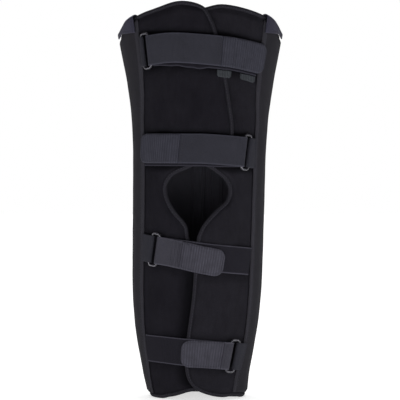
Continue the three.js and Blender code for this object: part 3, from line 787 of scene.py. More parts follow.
def brushed_foam_laminate(name, dark, light, nap):
    """Foam under a brushed nylon face: a short matt nap, mottled by hands, with painted shade next to the
    straps and beside the other flap's edge.
    """
    material, tree = blank(name)
    place = body_place(tree)
    fibres = mottle(tree, place, size=0.9, amount=0.5)
    strokes = mottle(tree, place, size=6, amount=0.25, stretch=4)
    # Painted shade: how far the foam is darkened towards near-black, read from the flap's points
    painted_shade = add(tree, "ShaderNodeAttribute", attribute_name="painted_shade").outputs["Fac"]
    clouds = (light, mottle(tree, place, size=28, amount=1))
    colour = layered(tree, dark, clouds, (nap, strokes), (nap, fibres), (PAINTED_SHADE_FOAM, painted_shade))
    relief = add(tree, "ShaderNodeMath", {0: fibres, 1: strokes}, operation="ADD").outputs[0]
    return finished(material, tree, colour, relief, 0.4, BRUSHED)


def painted_top_highlight(tree, light):
    """Painted highlight: paler wherever the fold faces up, where the light falls on it."""
    normal = add(tree, "ShaderNodeNewGeometry").outputs["Normal"]
    upward = add(tree, "ShaderNodeSeparateXYZ", {0: normal}).outputs[2]
    ends = {"Value": upward, "From Min": 0.02, "From Max": 0.5, "To Max": 0.8}
    return light, add(tree, "ShaderNodeMapRange", ends).outputs[0]


def woven_tape(name, dark, light, rib, finish=WOVEN, direction=0, highlight_colour=None):
    """Flat woven tape: rounded weft ribs over a finer warp, dusty here and there, with a painted highlight on
    its upward faces if it is given one.
    """
    material, tree = blank(name)
    cloth = weave(tree, cloth_place(tree), rib, rib * 0.6, direction)
    # The painted highlight, on faces that point up
    fold = [painted_top_highlight(tree, highlight_colour)] if highlight_colour else []
    dust = (dark, mottle(tree, body_place(tree), size=9, amount=0.5))
    return finished(material, tree, layered(tree, dark, (light, cloth), dust, *fold), cloth, 0.25, finish)


def loop_pile(name, width, dark, light, rim):
    """Landing side of a hook strap: deep dark loops between two bare woven selvedges."""
    material, tree = blank(name)
    place = cloth_place(tree)
    loops = mottle(tree, place, size=0.8, amount=1)
    colour = layered(tree, dark, (light, loops), (rim, selvedge(tree, place, width, 1.5)))
    return finished(material, tree, colour, loops, 0.4, BRUSHED)


def woven_strap(name, width, dark, light, rim):
    """Plain woven nylon side of the strap: fine crossed threads, worn cloudy, with a tighter selvedge."""
    material, tree = blank(name)
    place = cloth_place(tree)
    cloth = weave(tree, place, 1.5, 1.1)
    fuzz = mottle(tree, place, size=1.2, amount=0.5)
    edge = add(tree, "ShaderNodeMath", {0: selvedge(tree, place, width, 1.6), 1: 0.6}, operation="MULTIPLY")
    worn = (dark, mottle(tree, place, size=24, amount=0.9))
    colour = layered(tree, dark, (light, cloth), worn, (light, fuzz), (rim, edge.outputs[0]))
    return finished(material, tree, colour, cloth, 0.3, SMOOTH_WOVEN)


def hook_tape(name, dark, light):
    """Back of nylon hook tape: dense ribs, 3.1 mm apart where real ones are 1.6 mm, so that they show."""
    material, tree = blank(name)
    place = cloth_place(tree)
    ribs = ridges(tree, place, HOOK_RIB, 0)
    picks = ridges(tree, place, 0.9, 1)
    cloth = add(tree, "ShaderNodeMath", {0: ribs, 1: picks}, operation="MULTIPLY").outputs[0]
    shade = add(tree, "ShaderNodeMapRange", {"Value": ribs, "To Min": 0.3}).outputs[0]
    colour = layered(tree, dark, (light, shade), (dark, mottle(tree, place, size=12, amount=0.7)))
    return finished(material, tree, colour, cloth, 0.2, SMOOTH_WOVEN)


def moulded_acetal(name, dark, light):
    """Injection-moulded black plastic: an even soft gloss with faint rub marks."""
    material, tree = blank(name)
    marks = mottle(tree, body_place(tree), size=2.5, amount=1)
    gloss = add(tree, "ShaderNodeMapRange", {"Value": marks, "To Min": 0.12, "To Max": 0.26}).outputs[0]
    return finished(material, tree, layered(tree, dark, (light, marks)), marks, 0.02, MOULDED, gloss)


def sewing_thread(name, dark, light):
    """Bonded polyester thread: smooth, with a twist that shows as light and dark."""
    material, tree = blank(name)
    twist = mottle(tree, body_place(tree), size=0.5, amount=1)
    return finished(material, tree, layered(tree, dark, (light, twist)), twist, 0.05, SMOOTH_WOVEN)


def frosted_acrylic(name, white, grey):
    """Top of a light table: matt white, lit from below so that no shadow is left on it."""
    material, tree = blank(name)
    grain = mottle(tree, body_place(tree), size=2, amount=1)
    return finished(material, tree, layered(tree, white, (grey, grain)), grain, 0.02, FROSTED)


THIGH = THIGH_STRAP_WIDTH
CALF = CALF_STRAP_WIDTH
LEFT_FOAM = brushed_foam_laminate("brushed foam laminate", "#111014", "#17161a", "#1f1e24")
# The right flap wears a lighter copy of the same foam
RIGHT_FOAM = brushed_foam_laminate("brushed foam laminate lighter copy", "#141317", "#1b1a1f", "#252429")
EDGE_TAPE = woven_tape("polyester edge tape", "#1c1b20", "#2e2d33", 0.9)
BAND_CLOTH = woven_tape("polyester band cloth", "#1d1c20", "#2c2b30", 1.2, direction=1)
BAND_HEM = woven_tape("polyester band hem", "#27262b", "#3c3b41", 0.9)
LINING_CLOTH = woven_tape("polyester lining cloth", "#2e2d33", "#403f47", 1.4)
# The caps get a painted highlight on their upward faces
CAP_WEBBING = woven_tape("filament nylon webbing", "#26252f", "#3d3c48", 1.6, FILAMENT, highlight_colour="#656475")
TAB_WEBBING = woven_tape("nylon tab webbing", "#222228", "#333339", 1.4)
HOOK = {
    THIGH: hook_tape("nylon hook tape", "#24242c", "#35353f"),
    CALF: hook_tape("lighter nylon hook tape", "#29282f", "#403f49"),
}
CLOSURE_HOOK = hook_tape("dark nylon hook tape", "#24262a", "#34373b")
PILE = {
    # The thigh pile's selvedge is darker than the calf pile's: painted shade along the rims of the thigh
    # straps' lower layer
    THIGH: loop_pile("loop pile", THIGH, "#141318", "#1f1e24", "#2a2930"),
    CALF: loop_pile("calf loop pile", CALF, "#18171c", "#242329", "#38373f"),
}
STRAP_FACE = {
    THIGH: woven_strap("woven nylon strap", THIGH, "#1d1d24", "#31313a", "#363640"),
    CALF: woven_strap("lighter woven nylon strap", CALF, "#27262d", "#3e3d46", "#43424c"),
}
ACETAL = moulded_acetal("moulded acetal", "#1b1b1e", "#2b2b30")
THREAD = sewing_thread("polyester thread", "#232229", "#34333b")


# Straps' layout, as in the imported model

def bridged(height, span):
    """Height of webbing pulled over a surface: it spans what is narrow and bends softly."""
    offsets = np.array([-1, -0.67, -0.33, 0, 0.33, 0.67, 1]) * span

    def raised(s):
        return np.max([height(s + offset) for offset in offsets], axis=0)

    return lambda s: np.mean([raised(s + offset) for offset in offsets], axis=0)


class Strap:
    """Distances run from left to right along the strap's line, in millimetres from the front centre line."""

    def __init__(self, name, width, ring, tab, reach, hook, lean, line, crumple=0):
        self.name = name
        self.width = width
        self.ring = ring
        self.away = -ring
        self.lean = lean
        self.crumple = crumple
        turns, upper, lower = zip(*line)
        self.upper_at = smooth_column(turns, upper)
        self.lower_at = smooth_column(turns, lower)
        grid = np.arange(-LAYOUT_TURN, LAYOUT_TURN + 1)
        points = raw_skin(grid, self.upper_at(grid) * LENGTH, BAND_OUTSIDE)
        s = running(np.linalg.norm(np.diff(points, axis=0), axis=1))
        s -= s[LAYOUT_TURN]
        self.turn_at = smooth_column(s, grid)
        self.distance_at = smooth_column(grid, s)
        self.widths = np.array([-0.5, -0.25, 0, 0.25, 0.5]) * width
        self.seat = self.tabulated(bridged(lambda s: self.flaps_below(s) + LAYER_GAP, BRIDGE_SPAN))
        edges = [self.away * self.band_edge(ring, self.upper_at, w) for w in self.widths]
        self.far_bar = (max(edges) + tab) * self.away
        self.near_bar = self.far_bar + self.away * (RING_SLOT + RING_BAR)
        self.bar_radius = RING_BAR / 2 + GAP
        self.tip = self.near_bar + self.away * reach
        self.joint = self.tip - self.away * hook
        self.over_band = self.tabulated(bridged(self.band_below, BRIDGE_SPAN / 2))

    @staticmethod
    def tabulated(height):
        """The same heights read from a fine table, which is quicker."""
        grid = np.arange(-LAYOUT_REACH, LAYOUT_REACH, 0.5)
        values = height(grid)
        return lambda s: np.interp(s, grid, values)

    def middle_z(self, layer, s):
        return layer(self.turn_at(s)) * LENGTH

    def clearance(self, turn, z):
        """How far a place is above or below the strap, and less than 0 under it."""
        middle = (self.upper_at(turn) + self.lower_at(turn)) / 2 * LENGTH
        return np.abs(z - middle) - self.width / 2

    def band_edge(self, side, layer, w):
        """Distance at which a side band starts, at a place across the strap."""
        guess = self.distance_at(side * USUAL_BAND_FRONT)
        for _ in range(2):
            guess = self.distance_at(band_front_at[side]((self.middle_z(layer, guess) + w) / LENGTH))
        return float(guess - self.lean * w)

    def flaps_below(self, s):
        tops = [
            flap_top(self.turn_at(s + self.lean * w), self.middle_z(layer, s) + w)
            for layer in (self.upper_at, self.lower_at) for w in self.widths
        ]
        return np.max(tops, axis=0)

    def band_below(self, s):
        starts = [self.away * self.band_edge(self.away, self.upper_at, w) for w in self.widths]
        return np.where(self.away * s - min(starts) > -GAP, BAND_OUTSIDE + LAYER_GAP, 0)

    def bar_height(self, s):
        return self.seat(s) + STRAP_THICKNESS + self.bar_radius

    def upper_seat(self, s):
        """Height that the layer which folds back rests at."""
        flat = np.maximum(self.seat(s) + STRAP_THICKNESS + FOLDED_GAP, self.over_band(s))
        folded = self.bar_height(self.near_bar) + self.bar_radius
        return lerp(folded, flat, ease(np.abs(s - self.near_bar), 0, FOLD_EASE))

    def place(self, s, w, out, upper=1.0):
        """Point at a distance, a place across the width and a height, on the upper (1) or lower (0) line."""
        z = lerp(self.middle_z(self.lower_at, s), self.middle_z(self.upper_at, s), upper) + w
        return skin(self.turn_at(s + self.lean * w), z, out)

    def seam(self, s, w, out):
        """Points and outward normals along a seam on the upper line."""
        point = self.place(s, w, out)
        return point, self.place(s, w, out + 1) - point


STRAP_LAYOUTS = [Strap(name, **values) for name, values in STRAPS.items()]


# Padded panels: the cloth sinks under the straps and bulges between them

def away_from_straps(turn, z):
    """0 under a strap and up to 1 halfway between two."""
    return math.prod(ease(strap.clearance(turn, z), 1, 1 + SINK_WIDTH) for strap in STRAP_LAYOUTS)


def rumple(turn, z):
    """Soft unevenness of foam cloth, between -1 and 1."""
    waves = [np.sin(around * turn + upward * z + start) for around, upward, start in RUMPLE_WAVES]
    return sum(waves) / len(waves)


def covered(flap, turn, z):
    """1 where the other flap lies over this one."""
    up = z / LENGTH
    if flap["side"] > 0:
        return ease(left_edge_at(up) - turn, *COVERED_EDGE) * (up > THIGH_OVERLAP)
    return ease(turn - right_edge_at(up), *COVERED_EDGE) * (up < CALF_OVERLAP)


def painted_shade_at(flap, turn, z):
    """How much painted shade darkens the foam: next to the straps, and beside the right flap's edge in the
    calf.
    """
    # The painted shade, from 0 to 1: darkest at each strap's edge and beside the right flap's edge
    flat = np.zeros(turn.shape)
    for strap, share in zip(STRAP_LAYOUTS, PAINTED_SHADE_BY_STRAPS):
        flat = np.maximum(flat, share * (1 - ease(strap.clearance(turn, z), 0, PAINTED_SHADE_WIDTH)))
    if flap["side"] < 0:
        up = z / LENGTH
        beside = ease(turn - right_edge_at(up), -PAINTED_SHADE_TURN, 0) * (1 - ease(up, *PAINTED_SHADE_TOP))
        flat = np.maximum(flat, PAINTED_SHADE_BY_EDGE * beside)
    return flat


def padded_wall(node, turn, z, lift, from_edge, bulge, foam):
    """A lined foam panel, drawn in by its binding and puffed up inside it."""
    puff = ease(from_edge, 0, EDGE_PUFF)
    outer = PANEL_WALL + lift - EDGE_DENT * (1 - puff) + bulge * puff
    inner = lift + SKIN_SIDE_DENT * (1 - puff)
    piece = shell(f"{node}_padding", turn, z, inner, outer, [foam, LINING_CLOTH])
    settle(piece, "padded_panel", node, padded=FOAM_FILL)
    return piece


def flap_patch(flap, path):
    """Turns and heights over a flap, blended between its free edge, its hems and the seam."""
    rim_turn, rim_z = path.inset(BINDING_WIDTH - TUCK)
    hem = (len(flap["bottom"]) - 1) * EDGE_STEPS
    u = np.linspace(0, 1, hem + 1)

    def parts(values):
        return values[:hem + 1], values[hem:len(values) - hem], values[len(values) - hem - 1:][::-1]

    edge_z = parts(rim_z)[1]
    v = ((edge_z - edge_z[0]) / (edge_z[-1] - edge_z[0]))[:, None]

    def blend(values):
        bottom, edge, top = parts(values)
        side = lerp(bottom[0], top[0], v)
        corners = lerp(lerp(bottom[0], bottom[-1], u), lerp(top[0], top[-1], u), v)
        return lerp(bottom, top, v) + lerp(side, edge[:, None], u) - corners

    return blend(rim_turn), blend(rim_z), u


def padded_flap(node, flap, path):
    """Front flap, flat where a strap, a side band or the other flap holds it down."""
    turn, z, u = flap_patch(flap, path)
    from_free_edge = (1 - u) * np.abs(turn[:, :1] - turn[:, -1:]) * arc_per_degree(turn, z)
    from_edge = np.minimum(from_free_edge, np.minimum(z - z[:1], z[-1:] - z))
    free = away_from_straps(turn, z) * (1 - ease(np.abs(turn), *BULGE_FADE)) * (1 - covered(flap, turn, z))
    bulge = (BULGE + FLAP_RUMPLE * rumple(turn, z)) * free
    foam = LEFT_FOAM if flap["side"] < 0 else RIGHT_FOAM
    piece = padded_wall(node, turn, z, flap_lift(flap, turn, z), from_edge, bulge, foam)
    # Painted shade next to the straps and beside the right flap's edge, kept on the points for the foam's
    # colour
    flat = painted_shade_at(flap, turn, z)
    layer = piece.data.attributes.new("painted_shade", "FLOAT", "POINT")
    layer.data.foreach_set("value", out_and_back(flat, flat).ravel())


def padded_back():
    turn, z = back_rows(*BACK_GRID, SEAM_CLEAR)
    z = lerp(z[:1] - TUCK, z[-1:] + TUCK, np.linspace(0, 1, len(z))[:, None])
    free = ease(180 - np.abs(turn - 180), *BACK_FADE)
    bulge = (BACK_BULGE + BACK_RUMPLE * rumple(turn * 1.3, z)) * free
    padded_wall("back_panel", turn, z, 0, np.minimum(z - z[:1], z[-1:] - z), bulge, LEFT_FOAM)


# Edge binding: a tape folded over the edge, drawn in by its stitches

def bound_edge(name, node, path, lift):
    """Binding along a path: two legs and a round nose, puckered on its face and sewn through."""
    half = PANEL_WALL / 2
    face = PANEL_WALL + BINDING_PROUD
    angle = np.linspace(-np.pi / 2, np.pi / 2, NOSE_STEPS)
    leg = BINDING_WIDTH - np.array(BINDING_LEG)
    inward = np.concatenate((leg, BINDING_NOSE * (1 - np.cos(angle)), leg[::-1]))
    nose = half + (half + BINDING_PROUD) * np.sin(angle)
    out = np.concatenate((np.array(SKIN_LEG_SUNK) - BINDING_PROUD, nose, face - np.array(FACE_LEG_SUNK)))
    along = np.append(np.arange(0, path.along[-1], BINDING_STEP), path.along[-1])
    turn, z, in_turn, in_z = (
        np.interp(along, path.along, values)[:, None]
        for values in (path.turn, path.z, path.in_turn, path.in_z)
    )
    turn = turn + in_turn * inward
    z = np.maximum(z + in_z * inward, 0)
    pucker = PUCKER * np.cos(2 * np.pi * along / STITCH_PITCH)[:, None]
    raised = out + lift(turn, z) + np.where((inward > BINDING_WIDTH / 2) & (out > half), pucker, 0)
    uv = paired(along[:, None], running(np.hypot(np.diff(inward), np.diff(out))))
    settle(loft(name, skin(turn, z, raised), uv, [EDGE_TAPE]), "binding_tape", node)
    turn, z = path.inset(BINDING_SEAM)
    stitches(f"{name}_stitches", [seam_line(turn, z, out + lift(turn, z)) for out in (face, -BINDING_PROUD)])


def no_lift(turn, z):
    return np.zeros(np.shape(turn))


# Side bands: a stitched pocket with the stay's soft ridge, and a webbing cap over its top

def band_patch(side, columns, rows):
    """Turns and heights over a band, and the shares across it and up it."""
    margin = BINDING_WIDTH + BAND_END_GAP
    u = np.linspace(0, 1, columns + 1)
    v = np.linspace(0, 1, rows + 1)[:, None]

    def height_at(turn):
        return lerp(bottom_hem_at(turn) * LENGTH + margin, top_hem_at(turn) * LENGTH - margin, v)

    front = band_front_at[side](height_at(np.float64(side * SEAM_TURN)) / LENGTH)
    front = band_front_at[side](height_at(front) / LENGTH)
    turn = lerp(front, side * BAND_REAR_TURN, u)
    return turn, height_at(turn), u, v


def side_band(name, side):
    """Flat cloth over a stay, hemmed along both sides and sewn down with two rows at each."""
    turn, z, u, v = band_patch(side, *BAND_GRID)
    from_edge = np.minimum(u, 1 - u) * np.abs(turn[:, -1:] - turn[:, :1]) * arc_per_degree(turn, z)
    edge = BAND_EDGE_DROP * (ease(from_edge, 0, BAND_EDGE_ROUND) - 1)
    groove = -SEAM_GROOVE * swell(from_edge, BAND_SEAMS[0], SEAM_GROOVE_WIDTH)
    stay = STAY_RISE * ease(from_edge, *STAY_FLANK)
    ends = ease(np.minimum(v, 1 - v) * LENGTH, 0, END_ROUND)
    rise = edge + groove + stay + BAND_RUMPLE * rumple(turn * 2.4, z * 2)
    outer = BAND_FACE + rise * ends - BAND_END_DROP * (1 - ends)
    columns = len(u)
    hem = [1] * BAND_HEM_COLUMNS
    sides = hem + [0] * (columns - 1 - 2 * len(hem)) + hem + [1] + [0] * (columns - 1) + [1]
    piece = shell(f"{name}_band_cloth", turn, z, BAND_INSIDE, outer, [BAND_CLOTH, BAND_HEM], sides)
    settle(piece, "side_band", f"side_band_{name}")
    lines = []
    for row in BAND_SEAMS:
        for column, inward in ((0, side), (-1, -side)):
            edge_turn, edge_z = turn[:, column], z[:, column]
            at = edge_turn + inward * row / arc_per_degree(edge_turn, edge_z)
            lines.append(seam_line(at[2:-2], edge_z[2:-2], BAND_FACE - THREAD_SUNK))
    stitches(f"{name}_band_stitches", lines)


def cap_foot(turn):
    """Height of the hem, and how far below it the cap's outer leg ends."""
    hem = top_hem_at(turn) * LENGTH
    return hem, np.minimum(CAP_BOTTOM * LENGTH - hem, -CAP_SHORTEST_LEG)


def band_cap(name, side):
    """Nylon webbing folded over the band's top, with a level stitched lower edge."""
    outside = BAND_OUTSIDE + LAYER_GAP
    lining = -BINDING_PROUD - LINING_GAP
    middle = (outside + lining) / 2
    reach = (outside - lining) / 2
    bend = np.linspace(0, np.pi, CAP_BEND_STEPS)[1:-1]
    leg = np.linspace(0, 1, CAP_LEG_STEPS)
    t = np.linspace(0, 1, CAP_STEPS)[:, None]
    turn = side * lerp(CAP_FRONT_TURN, CAP_REAR_TURN, t)
    hem, foot = cap_foot(turn)
    span = CAP_REAR_TURN - CAP_FRONT_TURN
    width = span * float(arc_per_degree(side * CAP_FRONT_TURN, hem[0, 0]))
    from_end = np.minimum(t, 1 - t) * width

    def face(extra):
        """Places out of the wall and above the hem, from the outer leg's foot to the inner one's."""
        over = CAP_BEND_START + (CAP_CROWN_GAP - CAP_BEND_START + extra) * np.sin(bend) ** 0.8
        rest = np.concatenate((over, lerp(CAP_BEND_START, -CAP_INNER_LEG, leg)))
        rise = np.concatenate((lerp(foot, CAP_BEND_START, leg), np.tile(rest, (len(t), 1))), axis=1)
        round_top = middle + (reach + extra) * np.cos(bend)
        legs = (np.full(len(leg), outside + extra), np.full(len(leg), lining - extra))
        return np.concatenate((legs[0], round_top, legs[1])), rise

    outer_out, outer_rise = face(CAP_THICKNESS)
    inner_out, inner_rise = face(0)
    outward = np.sign(outer_out - middle)
    thinned = CAP_EDGE_DROP * (1 - ease(from_end, 0, CAP_EDGE_ROUND))
    welt = SEAM_WELT * swell(from_end, SEAM_INSET, SEAM_WELT_WIDTH)
    out = out_and_back(outer_out - outward * (thinned + welt), inner_out + outward * thinned)
    loops = skin(turn, hem + out_and_back(outer_rise, inner_rise), out)
    along = outer_rise + 2 * CAP_INNER_LEG * (outer_out < middle)
    piece = loft(f"{name}_cap_webbing", loops, paired(out_and_back(along, along), t * width), [CAP_WEBBING])
    settle(piece, "shiny_webbing", f"band_cap_{name}")
    inset = SEAM_INSET / width * span
    turns = side * np.linspace(CAP_FRONT_TURN + inset, CAP_REAR_TURN - inset, SEAM_POINTS)
    hem, foot = cap_foot(turns)
    climb = np.linspace(CAP_BOTTOM * LENGTH + CAP_SEAM_RISE, hem[0] - 1, SEAM_POINTS // 2)
    stitches(f"{name}_cap_stitches", [
        seam_line(turns, hem + foot + CAP_SEAM_RISE, outside + CAP_THICKNESS - 0.1),
        seam_line(turns[0], climb, outside + CAP_THICKNESS - 0.25),
    ])


def back_casing(name, turn, low, high):
    """Narrow pocket of a back stay, stitched to the skin side."""
    v = np.linspace(0, 1, CASING_GRID[1])[:, None]
    z = lerp(low, high, v) * LENGTH
    across = np.linspace(-0.5, 0.5, CASING_GRID[0])
    turns = turn + across * CASING_WIDTH / arc_per_degree(turn, z)
    from_edge = (0.5 - np.abs(across)) * CASING_WIDTH
    ridge = CASING_STAY_RISE * ease(from_edge, 3, 6) + CASING_EDGE_RISE * ease(from_edge, 0, 1)
    ends = ease(np.minimum(v, 1 - v) * (high - low) * LENGTH, 0, END_ROUND)
    inner = -LINING_GAP - 0.5 - (CASING_THICKNESS - 0.9) * ridge * (0.5 + 0.5 * ends)
    piece = shell(f"{name}_casing_cloth", turns, z, inner, -LINING_GAP, [LINING_CLOTH])
    settle(piece, "side_band", f"back_casing_{name}")
    lines = []
    for sign in (-1, 1):
        at = turn + sign * (CASING_WIDTH / 2 - CASING_SEAM_INSET) / arc_per_degree(turn, z[:, 0])
        point, normal = seam_line(at, z[:, 0], -LINING_GAP - 1.35)
        lines.append((point, -normal))
    stitches(f"{name}_casing_stitches", lines)


# Straps

def webbing_section(width, thickness):
    """Flat section across a strap with round selvedges: places across it and heights."""
    across = np.linspace(-0.5, 0.5, STRAP_COLUMNS) * (width - 2 * SELVEDGE)
    half = thickness / 2
    thick = half * (1 - SELVEDGE_DIP * swell(np.abs(across), width / 2 - SEAM_INSET, SELVEDGE_DIP_WIDTH))
    bend = np.linspace(np.pi / 2, -np.pi / 2, SELVEDGE_COLUMNS + 2)[1:-1]
    rim = across[-1] + SELVEDGE * np.cos(bend)
    w = np.concatenate((across, rim, across[::-1], -rim))
    h = np.concatenate((thick, half * np.sin(bend), -thick[::-1], half * np.sin(bend)[::-1]))
    return w, h


def crumpled(strap, s, w, share):
    """How far the lower layer's low edge stands out and hangs down where it crumples."""
    low_edge = strap.crumple * ease(-w, strap.width / 2 - CRUMPLE_DEPTH, strap.width / 2) * (1 - share)
    from_ring = ease(np.abs(s - strap.near_bar), *CRUMPLE_START)
    amount = low_edge * from_ring * ease(strap.distance_at(CRUMPLE_END) - s, 0, CRUMPLE_FADE)
    wave = np.sin(s / 6.3 + 0.8 * np.sin(s / 13)) + 0.5 * np.sin(s / 3.1 + 1)
    return amount * (0.5 + 0.4 * wave), -amount * (1.6 + 1.1 * np.sin(s / 8.7 + 2) + 0.5 * wave)


def round_bar(bar, height, radius, legs, under, over):
    """Stations of webbing that runs in under a ring bar, round it and back over: distance, height, tilt."""
    angle = np.linspace(-np.pi / 2, np.pi / 2, FOLD_STEPS)
    parts = (
        (*under, np.full(len(under[0]), -legs * np.pi)),
        (bar - legs * np.cos(angle) * radius, height + np.sin(angle) * radius, -legs * (np.pi / 2 - angle)),
        (*over, np.zeros(len(over[0]))),
    )
    return [np.concatenate(values)[:, None] for values in zip(*parts)]


def swept_webbing(name, strap, stations, share, section, materials, slant=0, sides=None):
    """Webbing along stations. The share is 1 on the strap's upper line and 0 on its lower one."""
    s, out, tilt = stations
    w, h = section
    lifted, hanging = crumpled(strap, s, w, share)
    loops = strap.place(s + slant * w + h * np.sin(tilt), w + hanging, out + h * np.cos(tilt) + lifted, share)
    along = running(np.hypot(np.diff(s[:, 0]), np.diff(out[:, 0])))
    return loft(name, loops, paired(along[:, None], w), materials, sides=sides)


def strap_piece(strap):
    """Webbing from its root over the front, through the ring and back to where its hook end starts."""
    away = strap.away
    half = STRAP_THICKNESS / 2
    edges = [away * strap.band_edge(away, strap.lower_at, w) for w in (-strap.width / 2, strap.width / 2)]
    under = np.linspace((min(edges) - ROOT_GAP) * away, strap.near_bar, UNDER_STEPS)[:-1]
    over = np.linspace(strap.near_bar, strap.joint, OVER_STEPS)[1:]
    stations = round_bar(
        strap.near_bar, strap.bar_height(strap.near_bar), strap.bar_radius + half, away,
        (under, strap.seat(under) + half), (over, strap.upper_seat(over) + half),
    )
    share = 1 - np.abs(stations[2]) / np.pi
    plain = [0] * (STRAP_COLUMNS + SELVEDGE_COLUMNS)
    sides = plain + [1] * STRAP_COLUMNS + [0] * SELVEDGE_COLUMNS
    piece = swept_webbing(
        f"{strap.name}_strap_webbing", strap, stations, share, webbing_section(strap.width, STRAP_THICKNESS),
        [STRAP_FACE[strap.width], PILE[strap.width]], sides=sides,
    )
    settle(piece, "strap_webbing", f"strap_{strap.name}")


def hook_piece(strap):
    """Ribbed hook end with a round tip, sewn on round its rim and across its start."""
    away = strap.away
    corner = strap.tip - away * HOOK_CORNER_RADIUS
    start = strap.joint + away * GAP
    straight = np.linspace(start, corner, int(abs(corner - start) / HOOK_STEP))
    bend = np.linspace(0, np.pi / 2, TIP_STEPS)
    s = np.concatenate((straight, corner + away * HOOK_CORNER_RADIUS * np.sin(bend[1:])))[:, None]
    into = np.clip(away * (s - corner) / HOOK_CORNER_RADIUS, 0, 1)
    half = strap.width / 2 - HOOK_CORNER_RADIUS * (1 - np.sqrt(1 - into ** 2))
    across = np.linspace(-1, 1, HOOK_COLUMNS)
    w = half * across
    from_side = (1 - np.abs(across)) * half
    from_edge = np.minimum(from_side, np.minimum(np.abs(s - start), np.abs(strap.tip - s) + 0.05))
    edge = ease(from_edge, 0, HOOK_EDGE_ROUND)
    ribs = RIB_HEIGHT * np.cos(2 * np.pi * (s - start) / HOOK_RIB) * ease(from_side, *RIB_ENDS)
    relief = ribs - HOOK_EDGE_DROP * (1 - edge) - SEAM_WELT * swell(from_edge, SEAM_INSET, SEAM_WELT_WIDTH)
    top = strap.upper_seat(s) + HOOK_END_THICKNESS + relief
    bottom = strap.upper_seat(s) + HOOK_EDGE_DROP / 3 * (1 - edge)
    loops = out_and_back(strap.place(s, w, top), strap.place(s, w, bottom))
    flat = paired(np.abs(s - start), w)
    piece = loft(f"{strap.name}_hook_tape", loops, out_and_back(flat, flat), [HOOK[strap.width]])
    settle(piece, "hook_tape", f"hook_end_{strap.name}")
    first = start + away * SEAM_INSET
    inner_radius = HOOK_CORNER_RADIUS - SEAM_INSET
    tip_s = corner + away * inner_radius * np.sin(bend)
    rim_s = np.concatenate((np.linspace(first, corner, RIM_POINTS), tip_s))
    side = strap.width / 2 - SEAM_INSET
    rim_w = np.concatenate((np.full(RIM_POINTS, side), side - inner_radius * (1 - np.cos(bend))))
    loop_s = np.concatenate((rim_s, rim_s[::-1]))
    cross = np.linspace(-side, side, SEAM_POINTS)
    before = strap.joint - away * CROSS_SEAM_INSET
    stitches(f"{strap.name}_hook_stitches", [
        strap.seam(at, w, strap.upper_seat(at) + lift) for at, w, lift in (
            (loop_s, np.concatenate((rim_w, -rim_w[::-1])), HOOK_END_THICKNESS - THREAD_SUNK),
            (first, cross, HOOK_END_THICKNESS - THREAD_SUNK),
            (before, cross, STRAP_THICKNESS + 0.05),
        )
    ])


def tab_piece(strap):
    """Short doubled webbing that holds the ring, stitched at its root if there is room."""
    ring = strap.ring
    half = TAB_THICKNESS / 2
    root = strap.band_edge(ring, strap.upper_at, 0) - ring * ROOT_GAP
    height = strap.bar_height(strap.far_bar)
    t = np.linspace(0, 1, TAB_STEPS)
    under = lerp(root, strap.far_bar, t)[:-1]
    under_out = lerp(strap.seat(root), height - strap.bar_radius - TAB_THICKNESS, t)[:-1] + half
    over = lerp(strap.far_bar, root, t)[1:]
    stack = strap.seat(strap.far_bar) + TAB_THICKNESS + LAYER_GAP
    over_out = lerp(height + strap.bar_radius, stack, ease(t, 0, 1))[1:] + half
    stations = round_bar(
        strap.far_bar, height, strap.bar_radius + half, ring, (under, under_out), (over, over_out),
    )
    edges = [strap.band_edge(ring, strap.upper_at, w) for w in (-strap.width / 2, strap.width / 2)]
    toward_root = np.clip((stations[0] - strap.far_bar) / (root - strap.far_bar), 0, 1)
    slant = (edges[1] - edges[0]) / strap.width * toward_root
    section = webbing_section(strap.width - GAP, TAB_THICKNESS)
    piece = swept_webbing(f"{strap.name}_tab_webbing", strap, stations, 1.0, section, [TAB_WEBBING], slant)
    settle(piece, "strap_webbing", f"ring_tab_{strap.name}")
    if abs(strap.far_bar - root) > STITCHED_TAB:
        at = root - ring * CROSS_SEAM_INSET
        cross = np.linspace(-1, 1, SEAM_POINTS) * (strap.width / 2 - TAB_SEAM_INSET)
        order = np.argsort(over)
        rise = np.interp(at, over[order], over_out[order]) + half
        stitches(f"{strap.name}_tab_stitches", [strap.seam(at, cross, rise)])


def ring_piece(strap):
    """Rectangular ring with round corners, on edge between its tab and the strap's fold."""
    middle = (strap.far_bar + strap.near_bar) / 2
    across = abs(strap.near_bar - strap.far_bar) / 2 - RING_CORNER_RADIUS
    tall = strap.width / 2 + RING_SIDE_PLAY + RING_BAR / 2 - RING_CORNER_RADIUS
    corner = np.repeat(((1, 1, 0), (-1, 1, 90), (-1, -1, 180), (1, -1, 270)), RING_CORNER_STEPS, axis=0)
    around = np.radians(corner[:, 2:] + np.tile(np.linspace(0, 90, RING_CORNER_STEPS), 4)[:, None])
    s = middle + corner[:, :1] * across + np.cos(around) * RING_CORNER_RADIUS
    w = corner[:, 1:2] * tall + np.sin(around) * RING_CORNER_RADIUS
    heights = strap.bar_height(strap.far_bar), strap.bar_height(strap.near_bar)
    height = lerp(*heights, (s - strap.far_bar) / (strap.near_bar - strap.far_bar))
    angle = np.arange(RING_SIDES) * 2 * np.pi / RING_SIDES
    side = np.cos(angle) * RING_BAR / 2
    loops = strap.place(
        s + np.cos(around) * side, w + np.sin(around) * side, height + np.sin(angle) * RING_BAR / 2,
    )
    along = running(np.hypot(np.diff(s[:, 0]), np.diff(w[:, 0])))
    uv = paired(along[:, None], angle * RING_BAR / 2)
    piece = loft(f"{strap.name}_ring_loop", loops, uv, [ACETAL], closed=True)
    settle(piece, "ring_plastic", f"ring_{strap.name}")


